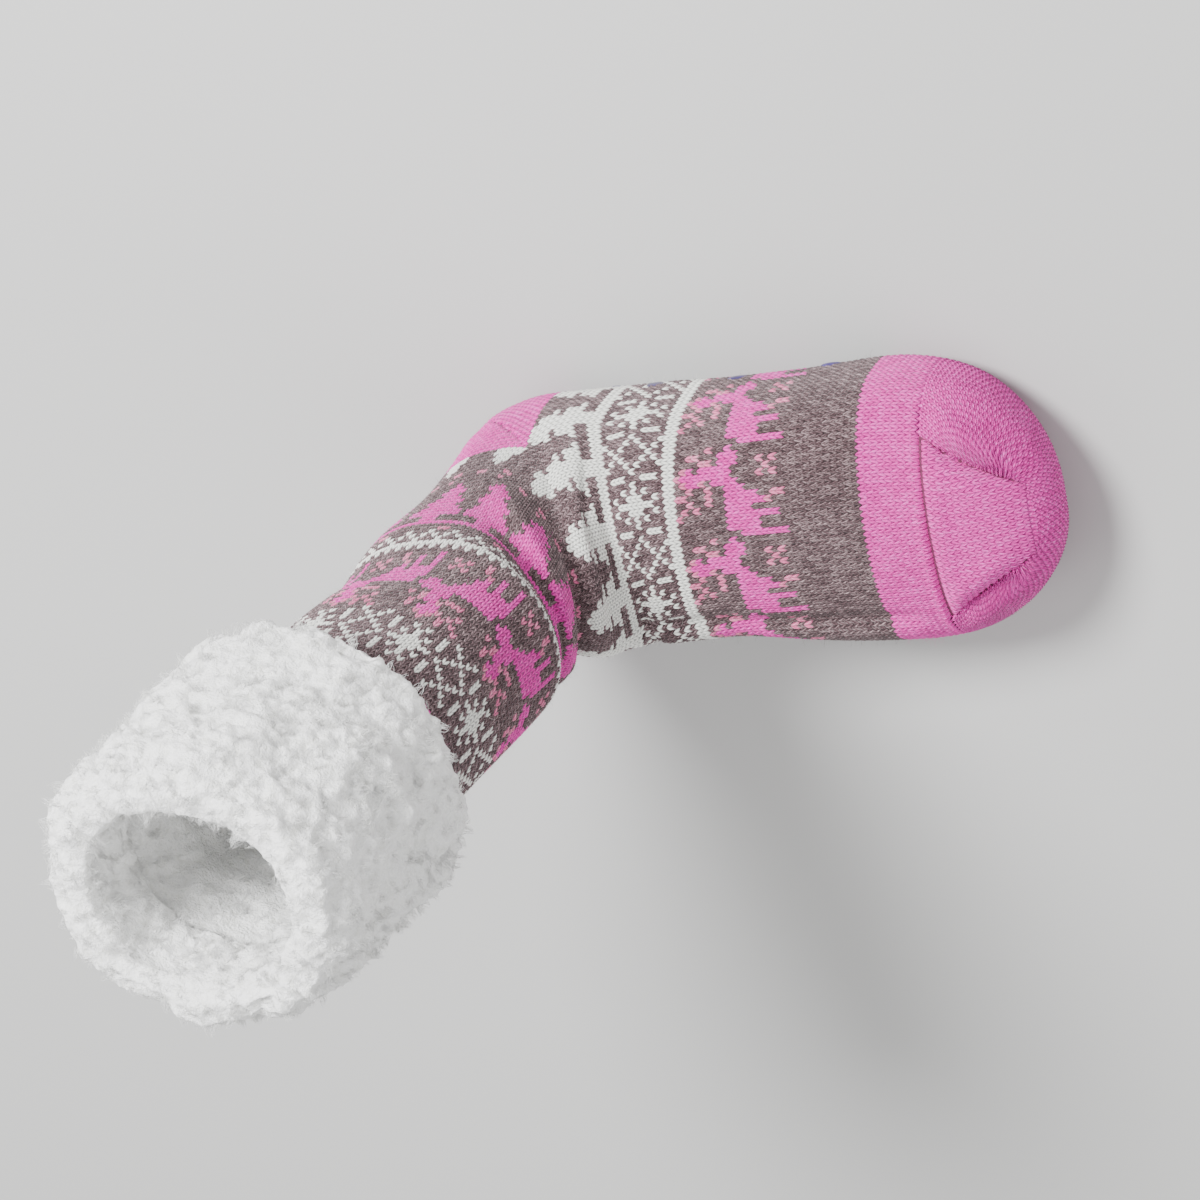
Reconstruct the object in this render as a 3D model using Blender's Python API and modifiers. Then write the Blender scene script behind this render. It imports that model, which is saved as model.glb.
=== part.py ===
"""A knitted slipper sock standing on its grip dots, with a turned-out fleece cuff.

Metres, +Z up, +X to the toe, +Y to the foot's left. The origin is on the floor, under the first grip dot
of the heel. The sock is one tube of sections: each is a ring between a point of the upper line (toe, instep,
front of the ankle, front of the shaft) and a point of the lower line (sole, heel, back of the shaft).
"""

import math
from collections import namedtuple

import bmesh
import bpy
import numpy as np
from mathutils import Quaternion, Vector
from mathutils.bvhtree import BVHTree

# Sizes of the foot
FOOT_LENGTH = 0.240
BALL_WIDTH = 0.106
HEEL_WIDTH = 0.086
TOE_HEIGHT = 0.051
BALL_HEIGHT = 0.057
INSTEP_HEIGHT = 0.076
HEEL_HEIGHT = 0.066
ARCH_RISE = 0.0046
TOE_ROUND_LENGTH = 0.056
TOE_ROUND_DEPTH = 0.034
TOE_TIP_HEIGHT = 0.024
KNIT_WALL = 0.0028

# Sizes of the shaft
COLLAR_HEIGHT = 0.302
SHAFT_DEPTH = 0.086
SHAFT_WIDTH = 0.080
SHAFT_LEAN = 0.018

# The seam that closes the toe
SEAM_FROM_TIP = 0.042
SEAM_LENGTH = 0.074
SEAM_HEIGHT = 0.0009
SEAM_WIDTH = 0.0036

# Sizes of the fleece cuff
CUFF_HEIGHT = 0.082
CUFF_PILE = 0.0105
CUFF_INNER_PILE = 0.0055
CUFF_INNER_LEG = 0.022
CUFF_FLARE = 0.0050
CUFF_CROWN = 0.0085
CUFF_FIT = 0.0005
LOCK_HEIGHT = 0.0050
LOCK_DROOP = 0.0030
LOCK_UNEVENNESS = 0.4

# Sizes of the grip dots
GRIP_DIAMETER = 0.0088
GRIP_HEIGHT = 0.0011
GRIP_FLAT = 0.0046
GRIP_PITCH = 0.036
GRIP_COLUMN_SPACING = 0.0103
GRIP_FROM_HEEL = 0.028
GRIP_GAP = 0.0003
GRIP_LEVEL_TILT = math.radians(15)

# How finely the forms are divided
AROUND = 38
OUTLINE_STEPS = 240
FOOT_STEP = 0.0125
ANKLE_STEP = 0.0074
SHAFT_STEP = 0.0130
TOE_RINGS = 7
CUFF_AROUND = 56
GRIP_SIDES = 10
BISECTIONS = 30
SEAT_SAMPLES = 16

SOLE_LEVEL = GRIP_HEIGHT + GRIP_GAP
UPPER_ROUNDNESS = 2.15
SOLE_ROUNDNESS = 2.0
SOLE_PRESS = 0.08
TOE_ROUNDNESS = 2.15
DOWN = Vector((0.0, 0.0, -1.0))

Section = namedtuple("Section", "upper_x upper_z lower_x lower_z width flat widest")

# Sections from the toe to the ankle: x from the back of the heel and z from the sole's plane. flat is how far
# the lower half is pressed flat, and widest is where the section is widest, as a share of the way up.
FOOT_SECTIONS = (
    Section(1.00 * FOOT_LENGTH, 0.90 * TOE_HEIGHT, 1.00 * FOOT_LENGTH, 0.10 * TOE_HEIGHT,
            0.95 * BALL_WIDTH, 0.60, 0.48),
    Section(0.88 * FOOT_LENGTH, 1.00 * TOE_HEIGHT, 0.88 * FOOT_LENGTH, 0.00 * TOE_HEIGHT,
            0.99 * BALL_WIDTH, 0.80, 0.46),
    Section(0.74 * FOOT_LENGTH, 1.00 * BALL_HEIGHT, 0.74 * FOOT_LENGTH, 0.00 * ARCH_RISE,
            1.00 * BALL_WIDTH, 1.00, 0.43),
    Section(0.60 * FOOT_LENGTH, 1.12 * BALL_HEIGHT, 0.60 * FOOT_LENGTH, 0.50 * ARCH_RISE,
            0.96 * BALL_WIDTH, 0.95, 0.42),
    Section(0.48 * FOOT_LENGTH, 0.90 * INSTEP_HEIGHT, 0.46 * FOOT_LENGTH, 1.00 * ARCH_RISE,
            0.91 * BALL_WIDTH, 0.90, 0.42),
    Section(0.40 * FOOT_LENGTH, 1.01 * INSTEP_HEIGHT, 0.33 * FOOT_LENGTH, 0.60 * ARCH_RISE,
            1.09 * HEEL_WIDTH, 0.90, 0.42),
    Section(0.36 * FOOT_LENGTH, 1.12 * INSTEP_HEIGHT, 0.21 * FOOT_LENGTH, 0.00 * HEEL_HEIGHT,
            1.05 * HEEL_WIDTH, 0.80, 0.43),
    Section(0.34 * FOOT_LENGTH, 1.22 * INSTEP_HEIGHT, 0.10 * FOOT_LENGTH, 0.00 * HEEL_HEIGHT,
            1.02 * HEEL_WIDTH, 0.65, 0.45),
    Section(0.33 * FOOT_LENGTH, 1.33 * INSTEP_HEIGHT, 0.028 * FOOT_LENGTH, 0.16 * HEEL_HEIGHT,
            0.99 * HEEL_WIDTH, 0.35, 0.47),
    Section(0.325 * FOOT_LENGTH, 1.44 * INSTEP_HEIGHT, 0.00 * FOOT_LENGTH, 0.53 * HEEL_HEIGHT,
            0.95 * HEEL_WIDTH, 0.10, 0.49),
    Section(0.323 * FOOT_LENGTH, 1.56 * INSTEP_HEIGHT, 0.003 * FOOT_LENGTH, 1.00 * HEEL_HEIGHT,
            0.93 * HEEL_WIDTH, 0.00, 0.50),
)
TOP_OF_FOOT = FOOT_SECTIONS[-1]

ShaftRow = namedtuple("ShaftRow", "front_rise back_rise depth width lean")

# Sections of the shaft: rises are shares of the way from the ankle's last section to the collar
SHAFT_ROWS = (
    ShaftRow(0.10, 0.20, 1.00 * SHAFT_DEPTH, 1.00 * SHAFT_WIDTH, 0.02 * SHAFT_LEAN),
    ShaftRow(0.24, 0.36, 0.97 * SHAFT_DEPTH, 1.00 * SHAFT_WIDTH, 0.14 * SHAFT_LEAN),
    ShaftRow(0.42, 0.51, 0.97 * SHAFT_DEPTH, 1.01 * SHAFT_WIDTH, 0.34 * SHAFT_LEAN),
    ShaftRow(0.62, 0.67, 1.00 * SHAFT_DEPTH, 1.02 * SHAFT_WIDTH, 0.58 * SHAFT_LEAN),
    ShaftRow(0.82, 0.84, 1.02 * SHAFT_DEPTH, 1.03 * SHAFT_WIDTH, 0.80 * SHAFT_LEAN),
    ShaftRow(1.00, 1.00, 1.04 * SHAFT_DEPTH, 1.04 * SHAFT_WIDTH, 1.00 * SHAFT_LEAN),
)

Fold = namedtuple("Fold", "place slant around spread width depth")

# Slack folds round the ankle. place is along the tube from the ankle's middle and slant is how far the fold
# climbs in half a turn, both as shares of the shaft's depth; around is its middle and spread its reach, as
# shares of the girth from the front; a negative depth is a trough.
FOLDS = (
    Fold(-0.20 * SHAFT_DEPTH, 0.50 * SHAFT_DEPTH, 0.07, 0.15, 0.090 * SHAFT_DEPTH, -0.046 * SHAFT_DEPTH),
    Fold(0.02 * SHAFT_DEPTH, 0.40 * SHAFT_DEPTH, -0.04, 0.18, 0.115 * SHAFT_DEPTH, 0.040 * SHAFT_DEPTH),
    Fold(0.25 * SHAFT_DEPTH, 0.30 * SHAFT_DEPTH, -0.05, 0.17, 0.090 * SHAFT_DEPTH, -0.058 * SHAFT_DEPTH),
    Fold(0.48 * SHAFT_DEPTH, 0.20 * SHAFT_DEPTH, 0.06, 0.19, 0.120 * SHAFT_DEPTH, 0.036 * SHAFT_DEPTH),
    Fold(0.72 * SHAFT_DEPTH, 0.10 * SHAFT_DEPTH, 0.05, 0.15, 0.105 * SHAFT_DEPTH, -0.038 * SHAFT_DEPTH),
    Fold(0.40 * SHAFT_DEPTH, 0.10 * SHAFT_DEPTH, 0.46, 0.10, 0.130 * SHAFT_DEPTH, -0.032 * SHAFT_DEPTH),
    Fold(1.25 * SHAFT_DEPTH, 0.20 * SHAFT_DEPTH, 0.30, 0.14, 0.180 * SHAFT_DEPTH, -0.026 * SHAFT_DEPTH),
)
ANKLE_ROW = 7

GripColumn = namedtuple("GripColumn", "columns_out first count")

# Columns of grip dots, out from the sole's middle, each with its first dot, in half pitches from the heel's
GRIP_COLUMNS = (
    GripColumn(0, 0, 5),
    GripColumn(1, 1, 4),
    GripColumn(2, 0, 5),
    GripColumn(3, 1, 4),
    GripColumn(4, 2, 4),
    GripColumn(5, 3, 3),
)

PartLook = namedtuple("PartLook", "name colour roughness")
KNIT_LOOK = PartLook("heathered_knit", (0.130, 0.080, 0.092), 0.95)
FLEECE_LOOK = PartLook("white_fleece", (0.860, 0.860, 0.850), 0.95)
GRIP_LOOK = PartLook("violet_grip", (0.085, 0.070, 0.230), 0.30)


def clear_scene():
    for obj in list(bpy.data.objects):
        bpy.data.objects.remove(obj, do_unlink=True)


def make_material(look):
    material = bpy.data.materials.new(look.name)
    material.use_nodes = True
    shader = material.node_tree.nodes["Principled BSDF"]
    shader.inputs["Base Color"].default_value = (*look.colour, 1.0)
    shader.inputs["Roughness"].default_value = look.roughness
    shader.inputs["Metallic"].default_value = 0.0
    return material


def shaft_section(row):
    """The shaft's section for a row: its front and back points rise from the ankle to the collar."""
    middle = (TOP_OF_FOOT.upper_x + TOP_OF_FOOT.lower_x) / 2 - row.lean
    front_z = TOP_OF_FOOT.upper_z + row.front_rise * (COLLAR_HEIGHT - TOP_OF_FOOT.upper_z)
    back_z = TOP_OF_FOOT.lower_z + row.back_rise * (COLLAR_HEIGHT - TOP_OF_FOOT.lower_z)
    return Section(middle + row.depth / 2, front_z, middle - row.depth / 2, back_z, row.width, 0.0, 0.5)


def section_table():
    """All sections as an array, with each one's place along the tube from the toe's tip."""
    rows = np.array(list(FOOT_SECTIONS) + [shaft_section(row) for row in SHAFT_ROWS])
    middles = (rows[:, 0:2] + rows[:, 2:4]) / 2
    steps = np.linalg.norm(np.diff(middles, axis=0), axis=1)
    return rows, np.concatenate(([0.0], np.cumsum(steps)))


ROWS, PLACES = section_table()
TUBE_LENGTH = PLACES[-1]
ANKLE_PLACE = PLACES[ANKLE_ROW]


def smooth_section(place):
    """The section at a place along the tube, on a smooth curve through the table's rows."""
    slopes = np.gradient(ROWS, PLACES, axis=0)
    index = int(np.clip(np.searchsorted(PLACES, place) - 1, 0, len(PLACES) - 2))
    span = PLACES[index + 1] - PLACES[index]
    share = (place - PLACES[index]) / span
    from_start = (1 + 2 * share) * (1 - share) ** 2
    from_end = share ** 2 * (3 - 2 * share)
    values = from_start * ROWS[index] + from_end * ROWS[index + 1]
    values += span * share * (1 - share) ** 2 * slopes[index]
    values -= span * share ** 2 * (1 - share) * slopes[index + 1]
    return Section(*values)


def rounded(distance, reach):
    """How full the toe is at a distance from its tip: 0 at the tip, 1 from the reach on."""
    if distance >= reach:
        return 1.0
    return (1 - (1 - distance / reach) ** TOE_ROUNDNESS) ** (1 / TOE_ROUNDNESS)


def round_toe(section, place):
    fullness = rounded(place, TOE_ROUND_LENGTH)
    height = rounded(place, TOE_ROUND_DEPTH)
    return section._replace(
        upper_z=TOE_TIP_HEIGHT + height * (section.upper_z - TOE_TIP_HEIGHT),
        lower_z=TOE_TIP_HEIGHT + height * (section.lower_z - TOE_TIP_HEIGHT),
        width=section.width * fullness,
    )


def signed_power(values, power):
    return np.sign(values) * np.abs(values) ** power


def section_outline(place):
    """A closed outline of the section, from the upper point round by the foot's left side."""
    section = round_toe(smooth_section(place), place)
    turn = np.linspace(0.0, 2 * math.pi, OUTLINE_STEPS + 1)
    upper_half = np.cos(turn) >= 0
    roundness = np.where(upper_half, UPPER_ROUNDNESS, UPPER_ROUNDNESS + SOLE_ROUNDNESS * section.flat)
    across = section.width / 2 * signed_power(np.sin(turn), 2 / roundness)
    climb = signed_power(np.cos(turn), 2 / roundness)
    press = 1 + SOLE_PRESS * section.flat
    share = section.widest + climb * np.where(upper_half, 1 - section.widest, section.widest * press)
    x = section.lower_x + share * (section.upper_x - section.lower_x)
    z = section.lower_z + share * (section.upper_z - section.lower_z)
    return np.column_stack((x, across, np.maximum(z, 0.0)))


def even_points(outline, shares):
    """Points of a closed outline at shares of its girth."""
    lengths = np.concatenate(([0.0], np.cumsum(np.linalg.norm(np.diff(outline, axis=0), axis=1))))
    wanted = np.asarray(shares) * lengths[-1]
    return np.column_stack([np.interp(wanted, lengths, outline[:, axis]) for axis in range(3)])


def bell(distance, width):
    return np.exp(-(distance / width) ** 2)


def from_middle(shares, middle):
    """The signed share of the girth from a middle, the shorter way round."""
    return (shares - middle + 0.5) % 1.0 - 0.5


def fold_height(place, shares):
    height = np.zeros(len(shares))
    for fold in FOLDS:
        sideways = from_middle(shares, fold.around)
        along = place - ANKLE_PLACE - fold.place + fold.slant * np.abs(sideways)
        height += fold.depth * bell(along, fold.width) * bell(sideways, fold.spread)
    return height


def seam_height(place, points):
    reach = np.clip((SEAM_LENGTH / 2 - np.abs(points[:, 1])) / SEAM_WIDTH, 0.0, 1.0)
    on_top = points[:, 2] > TOE_TIP_HEIGHT
    return SEAM_HEIGHT * bell(place - SEAM_FROM_TIP, SEAM_WIDTH / 2) * reach * on_top


def ring(place, shares, offset=0.0):
    """Points round the sock at a place along the tube, pushed out of the knit's outer face by an offset."""
    shares = np.asarray(shares, dtype=float)
    outline = section_outline(place)
    points = even_points(outline, shares)
    middle = outline[:-1].mean(axis=0)
    outward = points - middle
    outward /= np.maximum(np.linalg.norm(outward, axis=1), 1e-9)[:, None]
    push = fold_height(place, shares) + seam_height(place, points) + offset
    points = points + outward * push[:, None]
    points[:, 2] = np.maximum(points[:, 2], 0.0)
    return points + np.array((-GRIP_FROM_HEEL, 0.0, SOLE_LEVEL))


def even_places(start, end, step):
    count = max(1, round((end - start) / step))
    return list(np.linspace(start, end, count + 1)[:-1])


def ring_places():
    """Where the sock's rings lie: closer at the toe, at its seam and round the ankle."""
    turns = np.linspace(0, math.pi / 2, TOE_RINGS + 1)[1:-1]
    toe = [TOE_ROUND_LENGTH * (1 - math.cos(turn)) for turn in turns]
    toe = [place for place in toe if abs(place - SEAM_FROM_TIP) > SEAM_WIDTH]
    seam = [SEAM_FROM_TIP - SEAM_WIDTH / 2, SEAM_FROM_TIP, SEAM_FROM_TIP + SEAM_WIDTH / 2]
    ankle_start = ANKLE_PLACE - 0.55 * SHAFT_DEPTH
    ankle_end = ANKLE_PLACE + 1.05 * SHAFT_DEPTH
    foot = even_places(SEAM_FROM_TIP + 2.2 * SEAM_WIDTH, ankle_start, FOOT_STEP)
    ankle = even_places(ankle_start, ankle_end, ANKLE_STEP)
    shaft = even_places(ankle_end, TUBE_LENGTH, SHAFT_STEP)
    return sorted(toe + seam) + foot + ankle + shaft + [TUBE_LENGTH]


def add_object(name, mesh, collection, material):
    obj = bpy.data.objects.new(name, mesh)
    collection.objects.link(obj)
    mesh.materials.append(material)
    return obj


def bridge(bm, first, second):
    """Faces between two rings of vertices that run the same way round."""
    for index in range(len(first)):
        after = (index + 1) % len(first)
        bm.faces.new((first[index], second[index], second[after], first[after]))


def make_mesh(name, bm):
    bmesh.ops.recalc_face_normals(bm, faces=bm.faces)
    mesh = bpy.data.meshes.new(name)
    bm.to_mesh(mesh)
    bm.free()
    mesh.shade_smooth()
    return mesh


def add_sock(collection):
    """The knitted sock: one open skin through its sections, given its wall by Solidify."""
    shares = np.arange(AROUND) / AROUND
    bm = bmesh.new()
    rings = [[bm.verts.new(point) for point in ring(place, shares)] for place in ring_places()]
    tip = bm.verts.new((FOOT_LENGTH - GRIP_FROM_HEEL, 0.0, TOE_TIP_HEIGHT + SOLE_LEVEL))
    for index in range(AROUND):
        bm.faces.new((tip, rings[0][index], rings[0][(index + 1) % AROUND]))
    for first, second in zip(rings, rings[1:]):
        bridge(bm, first, second)
    mesh = make_mesh("knitted_sock", bm)
    sock = add_object("knitted_sock", mesh, collection, make_material(KNIT_LOOK))
    wall = sock.modifiers.new("wall", "SOLIDIFY")
    wall.thickness = KNIT_WALL
    wall.offset = -1.0
    return mesh


CuffRow = namedtuple("CuffRow", "rise offset lock")


def cuff_rows():
    """The cuff's profile as a closed loop: up outside, over the collar, down inside, and round the knit."""
    inside = -KNIT_WALL - CUFF_FIT
    outer_leg = (
        CuffRow(-1.00 * CUFF_HEIGHT, 0.45 * CUFF_PILE, 0.5),
        CuffRow(-0.98 * CUFF_HEIGHT, CUFF_PILE + 0.90 * CUFF_FLARE, 1.0),
        CuffRow(-0.88 * CUFF_HEIGHT, CUFF_PILE + 1.00 * CUFF_FLARE, 0.8),
        CuffRow(-0.78 * CUFF_HEIGHT, CUFF_PILE + 0.85 * CUFF_FLARE, 1.0),
        CuffRow(-0.68 * CUFF_HEIGHT, CUFF_PILE + 0.70 * CUFF_FLARE, 0.8),
        CuffRow(-0.58 * CUFF_HEIGHT, CUFF_PILE + 0.50 * CUFF_FLARE, 1.0),
        CuffRow(-0.48 * CUFF_HEIGHT, CUFF_PILE + 0.40 * CUFF_FLARE, 0.8),
        CuffRow(-0.38 * CUFF_HEIGHT, CUFF_PILE + 0.30 * CUFF_FLARE, 1.0),
        CuffRow(-0.28 * CUFF_HEIGHT, CUFF_PILE + 0.20 * CUFF_FLARE, 0.8),
        CuffRow(-0.18 * CUFF_HEIGHT, CUFF_PILE + 0.10 * CUFF_FLARE, 1.0),
        CuffRow(-0.06 * CUFF_HEIGHT, CUFF_PILE, 0.8),
    )
    over_collar = (
        CuffRow(0.75 * CUFF_CROWN, 0.62 * CUFF_PILE, 0.8),
        CuffRow(1.00 * CUFF_CROWN, -0.5 * KNIT_WALL, 0.5),
        CuffRow(0.70 * CUFF_CROWN, inside - 0.75 * CUFF_INNER_PILE, 0.3),
    )
    inner_leg = (
        CuffRow(-0.30 * CUFF_INNER_LEG, inside - CUFF_INNER_PILE, 0.2),
        CuffRow(-0.95 * CUFF_INNER_LEG, inside - 0.80 * CUFF_INNER_PILE, 0.2),
    )
    round_knit = (
        CuffRow(-1.00 * CUFF_INNER_LEG, inside, 0.0),
        CuffRow(-0.50 * CUFF_INNER_LEG, inside, 0.0),
        CuffRow(CUFF_FIT, inside, 0.0),
        CuffRow(CUFF_FIT, CUFF_FIT, 0.0),
        CuffRow(-0.25 * CUFF_HEIGHT, CUFF_FIT, 0.0),
        CuffRow(-0.50 * CUFF_HEIGHT, CUFF_FIT, 0.0),
        CuffRow(-0.75 * CUFF_HEIGHT, CUFF_FIT, 0.0),
        CuffRow(-0.98 * CUFF_HEIGHT, CUFF_FIT, 0.0),
    )
    return outer_leg + over_collar + inner_leg + round_knit


def lock_height(row_index, around_index):
    """Locks of the fleece: on every other row every other point stands out, staggered from row to row."""
    stands = row_index % 2 == 1 and (around_index + row_index // 2) % 2 == 0
    uneven = math.sin(2.4 * around_index + 1.7 * row_index) * math.sin(0.9 * around_index - 2.3 * row_index)
    return LOCK_HEIGHT * (stands * (0.8 + LOCK_UNEVENNESS * uneven) + 0.3 * LOCK_UNEVENNESS * uneven)


def add_cuff(collection):
    """The fleece cuff: a closed loop of rings round the collar, its locks standing out of its own faces."""
    shares = np.arange(CUFF_AROUND) / CUFF_AROUND
    bm = bmesh.new()
    rings = []
    for row_index, row in enumerate(cuff_rows()):
        place = TUBE_LENGTH + min(row.rise, 0.0)
        points = ring(place, shares, row.offset)
        points[:, 2] += max(row.rise, 0.0)
        middle = points.mean(axis=0)
        outward = (points - middle) * np.array((1.0, 1.0, 0.0))
        outward /= np.linalg.norm(outward, axis=1)[:, None]
        for around_index in range(CUFF_AROUND):
            height = row.lock * lock_height(row_index, around_index)
            direction = -outward[around_index] if row.offset < -KNIT_WALL else outward[around_index]
            points[around_index] += height * direction
            points[around_index][2] -= height / LOCK_HEIGHT * LOCK_DROOP
        rings.append([bm.verts.new(point) for point in points])
    for first, second in zip(rings, rings[1:] + rings[:1]):
        bridge(bm, first, second)
    mesh = make_mesh("fleece_cuff", bm)
    add_object("fleece_cuff", mesh, collection, make_material(FLEECE_LOOK))


def grip_profile():
    """Half of a grip dot's outline, from the middle of its base out and down to the middle of its flat."""
    radius = GRIP_DIAMETER / 2
    points = ((0.0, 0.0), (radius, 0.0), (GRIP_FLAT / 2, -GRIP_HEIGHT), (0.0, -GRIP_HEIGHT))
    mesh = bpy.data.meshes.new("grip_profile")
    mesh.from_pydata([(x, 0.0, z) for x, z in points], [(i, i + 1) for i in range(len(points) - 1)], [])
    return mesh


def grip_spots():
    """Where the dots sit: how far from the heel, and how far round the girth from the sole's middle."""
    spots = []
    for column in GRIP_COLUMNS:
        for side in ((1, -1) if column.columns_out else (1,)):
            for index in range(column.count):
                along = GRIP_FROM_HEEL + (column.first / 2 + index) * GRIP_PITCH
                spots.append((along, side * column.columns_out * GRIP_COLUMN_SPACING))
    return spots


def sole_point(along, girth_out):
    """The knit's point at a distance from the heel and a distance round the girth from the sole's middle."""
    near, far = 0.0, ANKLE_PLACE
    for _ in range(BISECTIONS):
        place = (near + far) / 2
        if smooth_section(place).lower_x > along:
            near = place
        else:
            far = place
    outline = section_outline(place)
    girth = np.linalg.norm(np.diff(outline, axis=0), axis=1).sum()
    return Vector(ring(place, [0.5 - girth_out / girth])[0])


def seat(tree, spot):
    """Where a dot's base lies for a spot on the sole, clear of the knit, and which way the dot points."""
    place, outward, _, _ = tree.find_nearest(spot)
    if outward.angle(DOWN) < GRIP_LEVEL_TILT:
        outward = DOWN
    sideways = outward.orthogonal() * GRIP_DIAMETER / 2
    stand = 0.0
    for index in range(SEAT_SAMPLES):
        turned = Quaternion(outward, index * 2 * math.pi / SEAT_SAMPLES) @ sideways
        for reach in (1.0, 0.5):
            start = place + turned * reach + outward * GRIP_DIAMETER
            met, _, _, _ = tree.ray_cast(start, -outward)
            stand = max(stand, (met - place).dot(outward))
    return place + outward * (stand + GRIP_GAP), outward


def add_grips(collection, skin):
    """The grip dots, each a turned profile on its seat."""
    points = [vertex.co.copy() for vertex in skin.vertices]
    tree = BVHTree.FromPolygons(points, [tuple(face.vertices) for face in skin.polygons])
    profile = grip_profile()
    profile.materials.append(make_material(GRIP_LOOK))
    for number, (along, girth_out) in enumerate(grip_spots(), start=1):
        place, outward = seat(tree, sole_point(along, girth_out))
        grip = bpy.data.objects.new(f"grip_{number:02d}", profile)
        collection.objects.link(grip)
        grip.location = place
        grip.rotation_euler = DOWN.rotation_difference(outward).to_euler()
        turn = grip.modifiers.new("turn", "SCREW")
        turn.steps = GRIP_SIDES
        turn.render_steps = GRIP_SIDES
        turn.use_merge_vertices = True
        turn.merge_threshold = 0.00005
        turn.use_smooth_shade = True


def main():
    clear_scene()
    collection = bpy.data.collections.new("slipper_sock")
    bpy.context.scene.collection.children.link(collection)
    skin = add_sock(collection)
    add_cuff(collection)
    add_grips(collection, skin)


main()
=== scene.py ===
"""The look of the slipper sock: knitted stitches in their pattern, fleece cuff and lining, gel dots.

Metres, +Z up, +X to the toe, +Y to the foot's left, as in the part. The knit is real stitches: each is a V
of two raised legs, in a grid of wales (round the sock) and courses (along it). A place runs along the tube
from the toe's tip to the collar, and a share runs round it from the instep's middle by the foot's left side.
"""

import math
from collections import namedtuple

import bpy
import numpy as np
from mathutils import Matrix, Vector
from mathutils import noise as noise_tools
from mathutils.bvhtree import BVHTree


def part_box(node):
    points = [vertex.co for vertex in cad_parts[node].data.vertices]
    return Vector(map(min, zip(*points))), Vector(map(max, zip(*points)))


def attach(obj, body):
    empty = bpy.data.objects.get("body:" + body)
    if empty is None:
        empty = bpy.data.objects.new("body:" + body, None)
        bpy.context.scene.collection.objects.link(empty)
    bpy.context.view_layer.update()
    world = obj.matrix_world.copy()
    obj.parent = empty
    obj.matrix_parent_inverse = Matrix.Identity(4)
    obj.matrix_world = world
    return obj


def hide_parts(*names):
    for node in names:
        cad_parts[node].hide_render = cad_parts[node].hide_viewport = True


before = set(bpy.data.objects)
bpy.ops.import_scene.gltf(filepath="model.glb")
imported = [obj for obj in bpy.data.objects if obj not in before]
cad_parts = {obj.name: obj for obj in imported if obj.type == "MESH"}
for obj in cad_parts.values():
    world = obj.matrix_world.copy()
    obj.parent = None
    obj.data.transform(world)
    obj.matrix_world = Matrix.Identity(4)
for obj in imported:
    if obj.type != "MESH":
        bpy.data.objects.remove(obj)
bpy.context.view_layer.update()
ROOT = "root"

# Sizes of the part
FOOT_LENGTH = 0.240
BALL_WIDTH = 0.106
HEEL_WIDTH = 0.086
TOE_HEIGHT = 0.051
BALL_HEIGHT = 0.057
INSTEP_HEIGHT = 0.076
HEEL_HEIGHT = 0.066
ARCH_RISE = 0.0046
TOE_ROUND_LENGTH = 0.056
TOE_ROUND_DEPTH = 0.034
TOE_TIP_HEIGHT = 0.024
KNIT_WALL = 0.0028
COLLAR_HEIGHT = 0.302
SHAFT_DEPTH = 0.086
SHAFT_WIDTH = 0.080
SHAFT_LEAN = 0.018
SEAM_FROM_TIP = 0.042
SEAM_LENGTH = 0.074
CUFF_HEIGHT = 0.082
CUFF_PILE = 0.0105
CUFF_INNER_PILE = 0.0055
CUFF_FLARE = 0.0050
CUFF_CROWN = 0.0085
CUFF_INNER_LEG = 0.022
GRIP_DIAMETER = 0.0088
GRIP_HEIGHT = 0.0011
GRIP_FROM_HEEL = 0.028
SOLE_LEVEL = 0.0014
UPPER_ROUNDNESS = 2.15
SOLE_ROUNDNESS = 2.0
SOLE_PRESS = 0.08
TOE_ROUNDNESS = 2.15
OUTLINE_STEPS = 240

# Sizes of the knit
WALES = 112
COLUMNS = 4 * WALES
COURSE = 0.00250
NEUTRAL_LENGTH = 0.400
ANKLE_START = 30
ANKLE_END = 96
V_DEPTH = 0.55
LEG_HEIGHT = 0.00055
PLACE_STEPS = 760
HEEL_COURSE = 62
JITTER = 0.00004
SEAM_DROP = 0.0012
SEAM_SWELL = 0.0009
SEAM_FADE = 0.014
GORE_DROP = 0.0010
TOE_TOP_ROWS = 14
GORE_END_PLACE = 0.008
GORE_END_WIDTH = 0.028
GORE_STEPS = 50
GORE_FADE = 0.008
GORE_END_FADE = 0.5
BACK_DEPTH = 0.0009
CUFF_OVERLAP = 0.020

# Sizes of the fleece and the dots
FLEECE_ROWS = 130
FLEECE_AROUND = 360
CLUMPS = ((0.0200, 0.0030), (0.0095, 0.0024), (0.0042, 0.0017), (0.0018, 0.0008))
CLUMPS_INSIDE = 0.6
CUFF_EDGE_WAVE = 0.0012
CUFF_CLEARANCE = 0.0005
LOCKS = 860
LOCK_FIBRES = 11
LOCK_LENGTHS = (0.0018, 0.0042)
LOCK_LEAN = 0.65
LOCK_SPREAD = 0.0012
LOCK_TIP = 0.00055
LOCK_SINK = 0.0006
FIBRE_BOW = 0.0006
FIBRE_TAPER = 0.7
FIBRE_STEPS = 3
FIBRE_THICKNESS = 0.00011
LINING_AROUND = 150
LINING_PILE = 0.0020
LINING_LEAST = 0.0004
LINING_CLUMPS = 0.80
LINING_START = 0.0022
LINING_BELOW_COLLAR = 0.004
LINING_LOCKS = 320
LINING_LOCK_ROWS = (126, 158)
SOLE_STEPS = 120
DOT_RINGS = 6
DOT_SIDES = 24
DOT_ROUNDNESS = 0.8
FLAT_DOT_ANGLE = math.radians(15)
GRIP_SINK = 0.0008
FUZZ_HAIRS = 5200
FUZZ_LENGTH = 0.0030
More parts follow.
